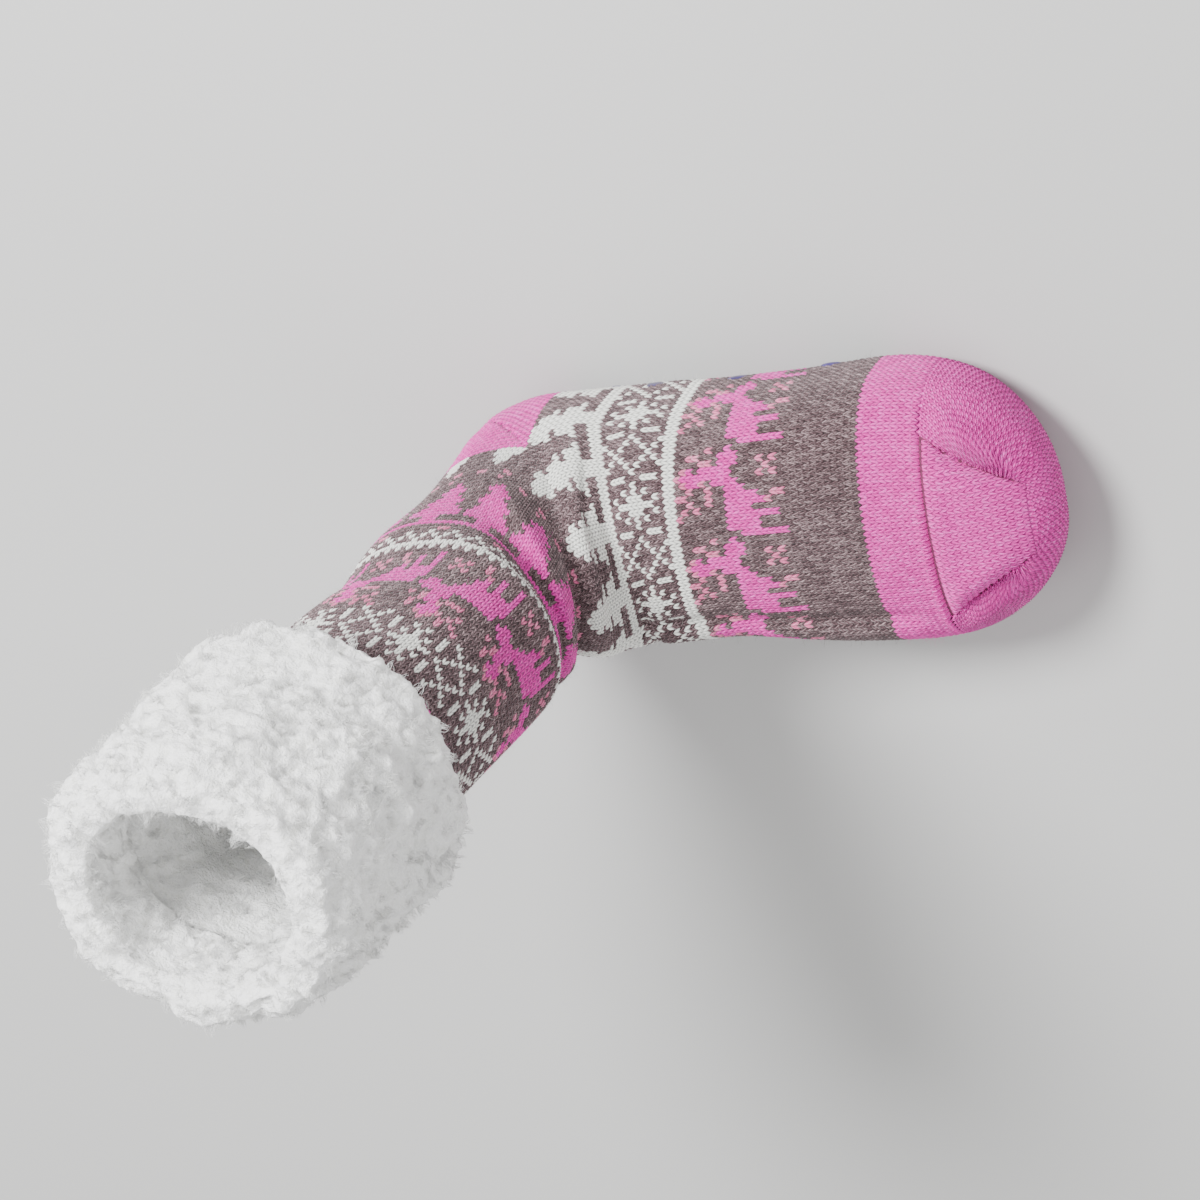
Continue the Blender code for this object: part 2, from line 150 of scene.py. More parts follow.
FUZZ_THICKNESS = 0.000028
FUZZ_LEAN = 0.9
FUZZ_BOW = 0.22
FUZZ_TONE = 0.8

# The map that lays a piece's rows and columns out flat
GRID_MAP = "OFBake"

# Which yarn a stitch is knitted in
DARK, PINK, WHITE = 0, 1, 2
PEACH = 3
YARN_OF = {".": DARK, "p": PINK, "w": WHITE, "f": PEACH}

Section = namedtuple("Section", "upper_x upper_z lower_x lower_z width flat widest")

# The part's sections, with the places of top and sole as shares of the foot's length
FOOT_ROWS = (
    (1.00, 0.90 * TOE_HEIGHT, 1.00, 0.10 * TOE_HEIGHT, 0.95 * BALL_WIDTH, 0.60, 0.48),
    (0.88, 1.00 * TOE_HEIGHT, 0.88, 0.00, 0.99 * BALL_WIDTH, 0.80, 0.46),
    (0.74, 1.00 * BALL_HEIGHT, 0.74, 0.00, 1.00 * BALL_WIDTH, 1.00, 0.43),
    (0.60, 1.12 * BALL_HEIGHT, 0.60, 0.50 * ARCH_RISE, 0.96 * BALL_WIDTH, 0.95, 0.42),
    (0.48, 0.90 * INSTEP_HEIGHT, 0.46, 1.00 * ARCH_RISE, 0.91 * BALL_WIDTH, 0.90, 0.42),
    (0.40, 1.01 * INSTEP_HEIGHT, 0.33, 0.60 * ARCH_RISE, 1.09 * HEEL_WIDTH, 0.90, 0.42),
    (0.36, 1.12 * INSTEP_HEIGHT, 0.21, 0.00, 1.05 * HEEL_WIDTH, 0.80, 0.43),
    (0.34, 1.22 * INSTEP_HEIGHT, 0.10, 0.00, 1.02 * HEEL_WIDTH, 0.65, 0.45),
    (0.33, 1.33 * INSTEP_HEIGHT, 0.028, 0.16 * HEEL_HEIGHT, 0.99 * HEEL_WIDTH, 0.35, 0.47),
    (0.325, 1.44 * INSTEP_HEIGHT, 0.00, 0.53 * HEEL_HEIGHT, 0.95 * HEEL_WIDTH, 0.10, 0.49),
    (0.323, 1.56 * INSTEP_HEIGHT, 0.003, 1.00 * HEEL_HEIGHT, 0.93 * HEEL_WIDTH, 0.00, 0.50),
)
FOOT_SECTIONS = [Section(row[0] * FOOT_LENGTH, row[1], row[2] * FOOT_LENGTH, *row[3:]) for row in FOOT_ROWS]
TOP_OF_FOOT = FOOT_SECTIONS[-1]

ShaftRow = namedtuple("ShaftRow", "front_rise back_rise depth width lean")
SHAFT_ROWS = (
    ShaftRow(0.10, 0.20, 1.00, 1.00, 0.02),
    ShaftRow(0.24, 0.36, 0.97, 1.00, 0.14),
    ShaftRow(0.42, 0.51, 0.97, 1.01, 0.34),
    ShaftRow(0.62, 0.67, 1.00, 1.02, 0.58),
    ShaftRow(0.82, 0.84, 1.02, 1.03, 0.80),
    ShaftRow(1.00, 1.00, 1.04, 1.04, 1.00),
)

Fold = namedtuple("Fold", "place slant around spread width depth")


def shaft_folds(rows):
    """Folds from a table of rows. Their place, slant, width and depth are shares of the shaft's depth."""
    folds = [Fold(*row) for row in rows]
    return [
        fold._replace(
            place=fold.place * SHAFT_DEPTH,
            slant=fold.slant * SHAFT_DEPTH,
            width=fold.width * SHAFT_DEPTH,
            depth=fold.depth * SHAFT_DEPTH,
        )
        for fold in folds
    ]


FOLDS = shaft_folds((
    (-0.20, 0.50, 0.07, 0.15, 0.090, -0.046),
    (0.02, 0.40, -0.04, 0.18, 0.115, 0.040),
    (0.25, 0.30, -0.05, 0.17, 0.090, -0.058),
    (0.48, 0.20, 0.06, 0.19, 0.120, 0.036),
    (0.72, 0.10, 0.05, 0.15, 0.105, -0.038),
    (0.40, 0.10, 0.46, 0.10, 0.130, -0.032),
    (1.25, 0.20, 0.30, 0.14, 0.180, -0.026),
))
ANKLE_ROW = 7


# Camera, light and floor

CAMERA_SIDE = Vector((0.42, 0.43, 0.80))
CAMERA_RIGHT = Vector((0.9075, -0.199, -0.370))
CAMERA_DISTANCE = 1.45
CAMERA_LENS = 120.0
CAMERA_AIM = Vector((0.0585, 0.0, 0.1020))
LIGHT_AIM = Vector((0.07, 0.0, 0.12))
FLOOR_HALF = 6.0
FLOOR_COLOUR = (0.46, 0.46, 0.455, 1.0)
SKY_STRENGTH = 0.76

Lamp = namedtuple("Lamp", "name place size power")
LAMPS = (
    Lamp("key", (-0.35, 0.95, 1.25), 0.6, 62.0),
    Lamp("fill", (1.10, -0.40, 0.90), 1.2, 9.0),
    Lamp("back", (-0.90, -0.40, 1.10), 1.0, 7.0),
)


def add_camera():
    """The camera at the photo's angle to the sock, rolled so that the toe points to the right."""
    data = bpy.data.cameras.new("camera")
    data.lens = CAMERA_LENS
    camera = bpy.data.objects.new("camera", data)
    bpy.context.scene.collection.objects.link(camera)
    back = CAMERA_SIDE.normalized()
    right = (CAMERA_RIGHT - back * CAMERA_RIGHT.dot(back)).normalized()
    up = back.cross(right)
    turn = np.array((right, up, back)).T
    camera.location = CAMERA_AIM + back * CAMERA_DISTANCE
    camera.rotation_mode = "QUATERNION"
    camera.rotation_quaternion = Matrix(turn.tolist()).to_quaternion()
    data.clip_start = 0.01
    data.clip_end = 20.0
    bpy.context.scene.camera = camera


def add_light(lamp):
    data = bpy.data.lights.new(lamp.name, "AREA")
    data.shape = "DISK"
    data.size = lamp.size
    data.energy = lamp.power
    light = bpy.data.objects.new(lamp.name, data)
    light.location = lamp.place
    aim = LIGHT_AIM - Vector(lamp.place)
    light.rotation_euler = aim.to_track_quat("-Z", "Y").to_euler()
    bpy.context.scene.collection.objects.link(light)


def add_stage():
    """A pale floor and a soft sky."""
    mesh = bpy.data.meshes.new("floor")
    corners = [(x * FLOOR_HALF, y * FLOOR_HALF, 0) for x, y in ((-1, -1), (1, -1), (1, 1), (-1, 1))]
    mesh.from_pydata(corners, [], [(0, 1, 2, 3)])
    floor = bpy.data.objects.new("floor", mesh)
    bpy.context.scene.collection.objects.link(floor)
    material, tree, shader = new_material("floor")
    fill(tree, shader, {"Base Color": FLOOR_COLOUR, "Roughness": 0.85})
    mesh.materials.append(material)
    world = bpy.data.worlds.new("sky")
    world.use_nodes = True
    sky = world.node_tree.nodes["Background"]
    fill(world.node_tree, sky, {"Color": (1.0, 1.0, 1.0, 1.0), "Strength": SKY_STRENGTH})
    bpy.context.scene.world = world


# The sock's surface, as the part has it

def shaft_section(row):
    half = row.depth * SHAFT_DEPTH / 2
    middle = (TOP_OF_FOOT.upper_x + TOP_OF_FOOT.lower_x) / 2 - row.lean * SHAFT_LEAN
    front_z = TOP_OF_FOOT.upper_z + row.front_rise * (COLLAR_HEIGHT - TOP_OF_FOOT.upper_z)
    back_z = TOP_OF_FOOT.lower_z + row.back_rise * (COLLAR_HEIGHT - TOP_OF_FOOT.lower_z)
    return Section(middle + half, front_z, middle - half, back_z, row.width * SHAFT_WIDTH, 0.0, 0.5)


def arcs_of(line):
    """How far each point of a line is from its start."""
    return np.concatenate(([0.0], np.cumsum(np.linalg.norm(np.diff(line, axis=0), axis=1))))


def along_line(line, arcs, wanted):
    return np.column_stack([np.interp(wanted, arcs, values) for values in line.T])


def section_table():
    rows = np.array(list(FOOT_SECTIONS) + [shaft_section(row) for row in SHAFT_ROWS])
    middles = (rows[:, 0:2] + rows[:, 2:4]) / 2
    return rows, arcs_of(middles)


ROWS, PLACES = section_table()
SLOPES = np.gradient(ROWS, PLACES, axis=0)
TUBE_LENGTH = PLACES[-1]
ANKLE_PLACE = PLACES[ANKLE_ROW]


def smooth_section(place):
    index = int(np.clip(np.searchsorted(PLACES, place) - 1, 0, len(PLACES) - 2))
    span = PLACES[index + 1] - PLACES[index]
    share = (place - PLACES[index]) / span
    from_start = (1 + 2 * share) * (1 - share) ** 2
    from_end = share ** 2 * (3 - 2 * share)
    values = from_start * ROWS[index] + from_end * ROWS[index + 1]
    values += span * share * (1 - share) ** 2 * SLOPES[index]
    values -= span * share ** 2 * (1 - share) * SLOPES[index + 1]
    return Section(*values)


def rounded(distance, reach):
    if distance >= reach:
        return 1.0
    return (1 - (1 - distance / reach) ** TOE_ROUNDNESS) ** (1 / TOE_ROUNDNESS)


def round_toe(section, place):
    height = rounded(place, TOE_ROUND_DEPTH)
    return section._replace(
        upper_z=TOE_TIP_HEIGHT + height * (section.upper_z - TOE_TIP_HEIGHT),
        lower_z=TOE_TIP_HEIGHT + height * (section.lower_z - TOE_TIP_HEIGHT),
        width=section.width * rounded(place, TOE_ROUND_LENGTH),
    )


def signed_power(values, power):
    return np.sign(values) * np.abs(values) ** power


def section_outline(place):
    section = round_toe(smooth_section(place), place)
    turn = np.linspace(0.0, 2 * math.pi, OUTLINE_STEPS + 1)
    upper_half = np.cos(turn) >= 0
    roundness = np.where(upper_half, UPPER_ROUNDNESS, UPPER_ROUNDNESS + SOLE_ROUNDNESS * section.flat)
    across = section.width / 2 * signed_power(np.sin(turn), 2 / roundness)
    climb = signed_power(np.cos(turn), 2 / roundness)
    press = 1 + SOLE_PRESS * section.flat
    share = section.widest + climb * np.where(upper_half, 1 - section.widest, section.widest * press)
    x = section.lower_x + share * (section.upper_x - section.lower_x)
    z = section.lower_z + share * (section.upper_z - section.lower_z)
    return np.column_stack((x, across, np.maximum(z, 0.0)))


def even_points(outline, shares):
    lengths = arcs_of(outline)
    return along_line(outline, lengths, np.asarray(shares) * lengths[-1])


def bell(distance, width):
    return np.exp(-(distance / width) ** 2)


def from_middle(shares, middle):
    return (shares - middle + 0.5) % 1.0 - 0.5


def fold_heights(folds, places, shares, wander=0.0):
    """How far folds move the knit out, by place and share. A wander bends their lines a little."""
    heights = np.zeros((len(places), len(shares)))
    for fold in folds:
        sideways = from_middle(shares, fold.around)
        along = places[:, None] - ANKLE_PLACE - fold.place + fold.slant * np.abs(sideways)
        along = along + wander * np.sin(14.0 * sideways + 40.0 * fold.place)
        heights += fold.depth * bell(along, fold.width) * bell(sideways, fold.spread)
    return heights


def ring(place, shares, offset=0.0):
    """Points round the sock at a place, pushed out of the knit's face by an offset."""
    shares = np.asarray(shares, dtype=float)
    outline = section_outline(place)
    points = even_points(outline, shares)
    outward = points - outline[:-1].mean(axis=0)
    outward /= np.maximum(np.linalg.norm(outward, axis=1), 1e-9)[:, None]
    folded = fold_heights(FOLDS, np.array([place]), shares)[0]
    points = points + outward * (folded + offset)[:, None]
    points[:, 2] = np.maximum(points[:, 2], 0.0)
    return points + np.array((-GRIP_FROM_HEEL, 0.0, SOLE_LEVEL))


def unit(vectors):
    return vectors / np.maximum(np.linalg.norm(vectors, axis=-1), 1e-12)[..., None]


def outward_of(grid):
    """The outward direction at each point of a grid of closed rings."""
    along = np.gradient(grid, axis=0)
    around = np.roll(grid, -1, axis=1) - np.roll(grid, 1, axis=1)
    return unit(np.cross(around, along))


def tube_grid(places, shares, offset=0.0):
    """The tube's points and outward directions on a grid of places and shares (shares going all round)."""
    points = np.array([ring(place, shares, offset) for place in places])
    return points, outward_of(points)


# Knitting charts: one row a course, from the toe side on, and one letter a stitch

DEER = (
    "p.....f.......",
    "p..p..f..f.f..",
    "p..p.f....f...",
    "p..p.p...f.f..",
    "pppp.pp.......",
    "ppppppp.......",
    "pppppppp......",
    ".pppppppp..pp.",
    ".ppppppppppppp",
    "........ppppp.",
    "........ppp...",
    ".....fff.ppf.f",
    "........fppf..",
    "....f...pp..f.",
    ".....f.fppp.f.",
    "....f.f.fpf...",
    "...f..f..f....",
)
BAND = (
    "..........w...w.",
    "w..w.w..w..w.w..",
    "w...w...w...w...",
    "w.w.w.w.w..w.w..",
    "...www....w...w.",
    ".wwwwwww.w.....w",
    "...www....w...w.",
    "w.w.w.w.w..w.w..",
    "w...w...w...w...",
    "w..w.w..w..w.w..",
    "..........w...w.",
)
WHITE_TREES = (
    "wwwwwwwwww",
    "wwwwwwwwww",
    "...www....",
    "...www....",
    "wwwwwwwww.",
    ".wwwwwww..",
    ".wwwwwww..",
    "...www....",
    ".wwwwwww..",
    "..wwwww...",
    "..wwwww...",
    "...www....",
    "..wwwww...",
    "..wwwww...",
    "...www....",
    "...www....",
    "....w.....",
)
FLECKS = (
    "..........",
    "..ff......",
    ".......ff.",
    "...f......",
    "..........",
)
PINK_TREES = (
    "....p.....",
    "...ppp....",
    "..ppppp...",
    "...ppp....",
    "..ppppp...",
    ".ppppppp..",
    "..ppppp...",
    ".ppppppp..",
    "ppppppppp.",
    "ppppppppp.",
    "...ppp....",
    "...ppp....",
    "pppppppppp",
)
ZIGZAG = (
    "w...w...",
    ".w.w.w.w",
    "..w...w.",
    "wwwwwwww",
    "w.w.w.w.",
)
PINK_ROW = ("pp",)
DARK_ROW = ("..",)
WHITE_ROW = ("ww",)

Band = namedtuple("Band", "chart courses repeats shift")

# The pattern from the toe's seam to the cuff: a chart, its courses, its repeats round the sock, and its turn
BANDS = (
    Band(PINK_ROW, 9, 56, 0),
    Band(DARK_ROW, 11, 56, 0),
    Band(DEER, 17, 8, 3),
    Band(WHITE_ROW, 2, 56, 0),
    Band(BAND, 11, 7, 5),
    Band(WHITE_TREES, 17, 11, 2),
    Band(FLECKS, 5, 11, 0),
    Band(PINK_TREES, 13, 11, 7),
    Band(FLECKS, 2, 11, 4),
    Band(ZIGZAG, 5, 14, 0),
    Band(DARK_ROW, 1, 56, 0),
    Band(DEER, 17, 8, 9),
    Band(BAND, 11, 7, 12),
    Band(DARK_ROW, 2, 56, 0),
    Band(PINK_ROW, 40, 56, 0),
)


def knitting_chart():
    """The yarn of each stitch by course and wale. Repeats that don't divide the wales start a wale apart here
    and there, and the wale left over repeats the chart's last one."""
    rows = []
    for band in BANDS:
        starts = [round(number * WALES / band.repeats) for number in range(band.repeats + 1)]
        inside = [wale - start for start, after in zip(starts, starts[1:]) for wale in range(start, after)]
        for course in range(band.courses):
            letters = band.chart[course % len(band.chart)]
            row = [YARN_OF[letters[min(place, len(letters) - 1)]] for place in inside]
            rows.append(np.roll(row, band.shift))
    return np.array(rows)


# The stitches' grid on the tube

TubeMap = namedtuple("TubeMap", "points outward arcs lengths wedges heel_rows")


def map_tube():
    """The tube from the toe's seam to the collar, with the distance along each quarter of a wale. Behind the
    sides a wale is longer than the neutral length, and the heel's extra rows take up what is over."""
    places = np.linspace(SEAM_FROM_TIP, TUBE_LENGTH, PLACE_STEPS)
    shares = np.arange(COLUMNS) / COLUMNS
    points, outward = tube_grid(places, shares)
    points += outward * creases(places, shares)[..., None]
    steps = np.linalg.norm(np.diff(points, axis=0), axis=2)
    arcs = np.concatenate((np.zeros((1, COLUMNS)), np.cumsum(steps, axis=0)))
    lengths = arcs[-1]
    wedges = np.maximum(lengths - NEUTRAL_LENGTH, 0.0)
    heel_rows = math.ceil(wedges.max() / COURSE / 2)
    return TubeMap(points, outward, arcs, lengths, wedges, heel_rows)


Crease = namedtuple("Crease", "start end share_start share_end width depth")

# Soft troughs and ridges that the part leaves out: along the foot's right side, and round the ankle
CREASES = (
    Crease(0.036, 0.190, 0.858, 0.905, 0.0042, -0.0026),
    Crease(0.036, 0.185, 0.826, 0.872, 0.0060, 0.0014),
)
WRINKLES = shaft_folds((
    (-0.32, 0.55, -0.10, 0.16, 0.045, -0.022),
    (-0.09, 0.45, 0.08, 0.12, 0.040, -0.024),
    (0.13, 0.35, 0.12, 0.13, 0.045, -0.022),
    (0.36, 0.25, -0.12, 0.14, 0.045, 0.018),
    (0.60, 0.15, -0.02, 0.16, 0.050, -0.020),
    (0.95, 0.15, 0.10, 0.18, 0.060, 0.010),
    (0.20, -0.20, 0.42, 0.12, 0.050, -0.010),
))
UNEVENNESS = 0.0005
CREASE_FADE = 0.015
CREASE_WANDER = 0.004
WRINKLE_WANDER = 0.0025
FOOT_GIRTH = 0.280


def creases(places, shares):
    """How far the listed creases and a slight unevenness move the knit out, by place and share."""
    heights = np.zeros((len(places), len(shares)))
    for crease in CREASES:
        along = (places - crease.start) / (crease.end - crease.start)
        middle = crease.share_start + np.clip(along, 0, 1) * (crease.share_end - crease.share_start)
        middle = middle + CREASE_WANDER * np.sin(9.0 * along + 1.0)
        ends = smooth_step(along * 5) * smooth_step((1 - along) * 5)
        across = from_middle(shares[None, :], middle[:, None]) * FOOT_GIRTH
        heights += crease.depth * ends[:, None] * bell(across, crease.width)
    heights += fold_heights(WRINKLES, places, shares, WRINKLE_WANDER)
    turn = 2 * math.pi * shares[None, :]
    along = places[:, None]
    waves = np.sin(60 * along + 2 * turn + 0.5)
    waves = waves + np.sin(95 * along - 3 * turn + 1.9) + np.sin(33 * along + 5 * turn)
    from_seam = smooth_step((places - SEAM_FROM_TIP - COURSE) / CREASE_FADE)[:, None]
    return from_seam * (heights + UNEVENNESS * waves / 1.5)


def smooth_step(values):
    values = np.clip(values, 0.0, 1.0)
    return values * values * (3 - 2 * values)


def top_row(share):
    """A row of the top between the gores: share is 0 at the seam and 1 at the narrow end near the tip."""
    place = SEAM_FROM_TIP + share * (GORE_END_PLACE - SEAM_FROM_TIP)
    half = (SEAM_LENGTH + share * (GORE_END_WIDTH - SEAM_LENGTH)) / 2
    row = ring(place, np.linspace(0.25, -0.25, 1001) % 1.0)
    wanted = np.linspace(half, -half, 121)
    order = np.argsort(row[:, 1])
    return np.column_stack([np.interp(wanted, row[order, 1], row[order, axis]) for axis in range(3)])


def gore_point(share):
    """A point of the left gore, from the seam's end to the narrow end near the tip."""
    return Vector(top_row(share)[0])


FoldSide = namedtuple("FoldSide", "away width height")

# Soft troughs and ridges of the toe, by how far they lie from a gore or from the closing seam
GORE_FOLDS = (
    FoldSide(0.0, 0.0032, -0.0020),
    FoldSide(0.0080, 0.0045, 0.0015),
)
SEAM_FOLD = FoldSide(0.0048, 0.0030, 0.0009)


def toe_folds(points, places):
    """How far the folds along the toe's gores and seam move the toe out, on rings at some places."""
    heights = np.zeros(points.shape[:2])
    toe = places < SEAM_FROM_TIP
    left = np.array([gore_point(share) for share in np.linspace(0.0, 1.0, GORE_STEPS)])
    gores = np.concatenate((left, left * (1, -1, 1)))
    distances = np.linalg.norm(points[toe][:, :, None, :] - gores, axis=3)
    away = distances.min(axis=2)
    along = distances.argmin(axis=2) % GORE_STEPS / (GORE_STEPS - 1)
    before = SEAM_FROM_TIP - places[toe][:, None]
    fade = smooth_step(before / GORE_FADE) * smooth_step((1 - along) / GORE_END_FADE)
    for fold in GORE_FOLDS:
        heights[toe] += fold.height * fade * bell(away - fold.away, fold.width)
    on_top = smooth_step((points[toe][:, :, 2] - TOE_TIP_HEIGHT) / GORE_FADE)
    inside = smooth_step((SEAM_LENGTH / 2 + GORE_FADE / 2 - np.abs(points[toe][:, :, 1])) / GORE_FADE)
    heights[toe] += SEAM_FOLD.height * bell(before - SEAM_FOLD.away, SEAM_FOLD.width) * on_top * inside
    return heights


def creased_grid(places, shares, offset=0.0):
    """The tube's points and outward directions, with the creases and the toe's folds."""
    points, outward = tube_grid(places, shares, offset)
    heights = creases(places, shares) + toe_folds(points, places)
    return points + outward * heights[..., None], outward


def knitted_arcs(tube, column, rows):
    """How far from the toe's seam a column has knitted so many rows of its own. Its heel rows are among them,
    and round the ankle's front the rows lie closer."""
    wedge_rows = tube.wedges[column] / COURSE
    beyond = np.clip(rows - HEEL_COURSE, 0.0, wedge_rows)
    spare = tube.lengths[column] - tube.wedges[column] - NEUTRAL_LENGTH
    closer = smooth_step((rows - beyond - ANKLE_START) / (ANKLE_END - ANKLE_START))
    return rows * COURSE + spare * closer


def at_arcs(tube, arcs, column):
    """Points and outward directions on one column at distances from the toe's seam."""
    known = tube.arcs[:, column]
    return along_line(tube.points[:, column], known, arcs), along_line(tube.outward[:, column], known, arcs)


V_SHIFT = np.array((0.0, 0.5, 1.0, 0.5)) * V_DEPTH
ACROSS_LEG = np.array((0.0, 1.0, 0.25, 1.0))
ALONG_LEG = np.array((0.30, 1.0))
LEG_GAP = 0.15


def leg_heights(rows, columns):
    """How far the knit stands out at half courses and quarter wales."""
    across = ACROSS_LEG[columns % 4][None, :]
    along = ALONG_LEG[rows % 2][:, None]
    return LEG_HEIGHT * (across * along - LEG_GAP * (1 - across))


def add_piece(name, points, faces, material):
    mesh = bpy.data.meshes.new(name)
    mesh.from_pydata(points.tolist(), [], faces)
    mesh.materials.append(material)
    mesh.shade_smooth()
    piece = bpy.data.objects.new(name, mesh)
    bpy.context.scene.collection.objects.link(piece)
    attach(piece, ROOT)
    return piece


def add_uv_map(piece, name, corner_uv):
    layer = piece.data.uv_layers.new(name=name)
    layer.data.foreach_set("uv", np.asarray(corner_uv, dtype=np.float32).ravel())


def add_knit_data(piece, face_yarn, face_tone, corner_uv):
    """Which yarn each face is, how light its stitch is, and the place in its stitch of each corner."""
    mesh = piece.data
    yarn = mesh.attributes.new("yarn", "FLOAT", "FACE")
    yarn.data.foreach_set("value", np.asarray(face_yarn, dtype=np.float32))
    tone = mesh.attributes.new("tone", "FLOAT", "FACE")
    tone.data.foreach_set("value", np.asarray(face_tone, dtype=np.float32))
    add_uv_map(piece, "stitch", corner_uv)


def add_knit(name, points, index, row_of, yarn_at, tones, material):
    """A knitted piece from a grid of vertices. index gives each grid point's vertex, and faces that have
    shrunk to nothing are left out."""
    rows, columns = index.shape
    faces, yarns, tone_of, uvs, grid_uvs = [], [], [], [], []
    for i in range(rows - 1):
        course = row_of[i] / 2
        for j in range(columns - 1):
            corners = ((i, j), (i, j + 1), (i + 1, j + 1), (i + 1, j))
            face, uv, grid_uv = [], [], []
            for a, b in corners:
                vertex = index[a, b]
                if vertex not in face:
                    face.append(vertex)
                    uv.append((b / 2, row_of[a] / 2))
                    grid_uv.append((b / (columns - 1), a / (rows - 1)))
            if len(face) < 3:
                continue
            faces.append(face)
            uvs.extend(uv)
            grid_uvs.extend(grid_uv)
            yarns.append(yarn_at(int(course), j // 4))
            tone_of.append(tones[int(course) % tones.shape[0], (j // 2) % tones.shape[1]])
    used = np.unique(np.concatenate([np.array(face) for face in faces]))
    renumber = np.full(len(points), -1)
    renumber[used] = np.arange(len(used))
    faces = [[int(renumber[v]) for v in face] for face in faces]
    piece = add_piece(name, points[used], faces, material)
    add_knit_data(piece, yarns, tone_of, uvs)
    add_uv_map(piece, GRID_MAP, grid_uvs)
    return piece


def tube_vertices(tube, last_course):
    """The knit's vertices at half courses and quarter wales, as a grid of indices into a list of points. The
    heel rows that a column lacks gather in one point, on the heel's gore."""
    row_of = np.arange(0, 2 * (last_course + 2 * tube.heel_rows) + 1)
    courses = row_of / 2
    heights = leg_heights(row_of, np.arange(COLUMNS))
    index = np.zeros((len(row_of), COLUMNS + 1), dtype=int)
    points = []
    random = np.random.default_rng(7)
    seam = seam_depths(tube)
    for column in range(COLUMNS):
        extra = tube.wedges[column] / COURSE / 2
        lower = courses <= HEEL_COURSE + extra
        upper = courses > HEEL_COURSE + 2 * tube.heel_rows - extra
        gathered = ~lower & ~upper
        rows = np.where(upper, courses - 2 * tube.heel_rows + 2 * extra, HEEL_COURSE + extra)
        rows = np.where(lower, courses, rows) + V_SHIFT[column % 4]
        if seam[column] == 1.0:
            rows[0] = 0.0
        place, facing = at_arcs(tube, knitted_arcs(tube, column, rows), column)
        height = heights[:, column].copy()
        height[gathered] = -GORE_DROP * min(1.0, extra / 3)
        height[:3] += seam[column] * np.array((-SEAM_DROP, SEAM_SWELL, SEAM_SWELL / 2))
        moved = place + facing * height[:, None] + random.normal(0.0, JITTER, place.shape)
        first = len(points)
        own = ~gathered
        if extra > 0:
            own[np.argmax(gathered)] = True
        index[:, column] = first - 1 + np.cumsum(own)
        points.extend(moved[own])
    index[:, COLUMNS] = index[:, 0]
    return np.array(points), index, row_of


def seam_depths(tube):
    """How deep the toe's seam is on each column: full on top, and fading out a little way down the sides."""
    start = tube.points[0]
    quarter = start[:COLUMNS // 4]
    end_height = np.interp(SEAM_LENGTH / 2, np.abs(quarter[:, 1]), quarter[:, 2])
    on_top = start[:, 2] > TOE_TIP_HEIGHT + SOLE_LEVEL
    sideways = np.where(on_top, np.abs(start[:, 1]) - SEAM_LENGTH / 2, 1.0)
    away = np.hypot(np.maximum(sideways, 0.0), np.maximum(end_height - start[:, 2], 0.0))
    return np.where(away <= 0, 1.0, np.clip(0.999 - away / SEAM_FADE, 0.0, 0.999))


def add_tube(tube, chart, material):
    """The foot, the heel and the shaft."""
    last_course = round((NEUTRAL_LENGTH - CUFF_HEIGHT + CUFF_OVERLAP) / COURSE)
    points, index, row_of = tube_vertices(tube, last_course)
    random = np.random.default_rng(11)
    tones = random.random((200, 2 * WALES))
    heel_end = HEEL_COURSE + 2 * tube.heel_rows

    def yarn_at(course, wale):
        if course < HEEL_COURSE:
            return chart[course, wale]
        if course < heel_end:
            return PINK
        return chart[course - 2 * tube.heel_rows, wale]

    cuts = (0, HEEL_COURSE, heel_end, row_of[-1] // 2)
    pieces = []
    for name, first, last in zip(("knit_foot", "knit_heel", "knit_shaft"), cuts, cuts[1:]):
        some = slice(2 * first, 2 * last + 1)
        pieces.append(add_knit(name, points, index[some], row_of[some], yarn_at, tones, material))
    return pieces


def add_back(material):
    """A plain layer just behind the stitches, so that no gap between them shows through. Its dark colour is
    painted shade in those gaps.
    """
    shares = np.arange(LINING_AROUND) / LINING_AROUND
    toe = TOE_ROUND_LENGTH * (1 - np.cos(np.linspace(0.02, math.pi / 2, 30)))
    places = np.concatenate((toe, np.linspace(TOE_ROUND_LENGTH + 0.003, TUBE_LENGTH - 0.001, 110)))
    points, _ = creased_grid(places, shares, -BACK_DEPTH)
    return add_ring_grid("knit_back", points.reshape(-1, 3), len(places), LINING_AROUND, material)


# Materials

def new_material(name):
    material = bpy.data.materials.new(name)
    material.use_nodes = True
    tree = material.node_tree
    return material, tree, tree.nodes["Principled BSDF"]


def node(tree, kind, **settings):
    made = tree.nodes.new(kind)
    for key, value in settings.items():
        setattr(made, key, value)
    return made


def fill(tree, made, values):
    """Set a node's sockets, or link them where the value is a socket itself."""
    for key, value in values.items():
        if isinstance(value, bpy.types.NodeSocket):
            tree.links.new(value, made.inputs[key])
        else:
            made.inputs[key].default_value = value
    return made


def math_node(tree, operation, *values):
    made = node(tree, "ShaderNodeMath", operation=operation)
    return fill(tree, made, dict(enumerate(values))).outputs[0]


def mix_colour(tree, factor, first, second):
    made = node(tree, "ShaderNodeMix", data_type="RGBA")
    return fill(tree, made, {0: factor, 6: first, 7: second}).outputs[2]


def product(tree, first, second):
    return math_node(tree, "MULTIPLY", first, second)


def add_bump(tree, shader, height, strength, distance):
    bump = node(tree, "ShaderNodeBump")
    fill(tree, bump, {"Strength": strength, "Distance": distance, "Height": height})
    fill(tree, shader, {"Normal": bump.outputs[0]})


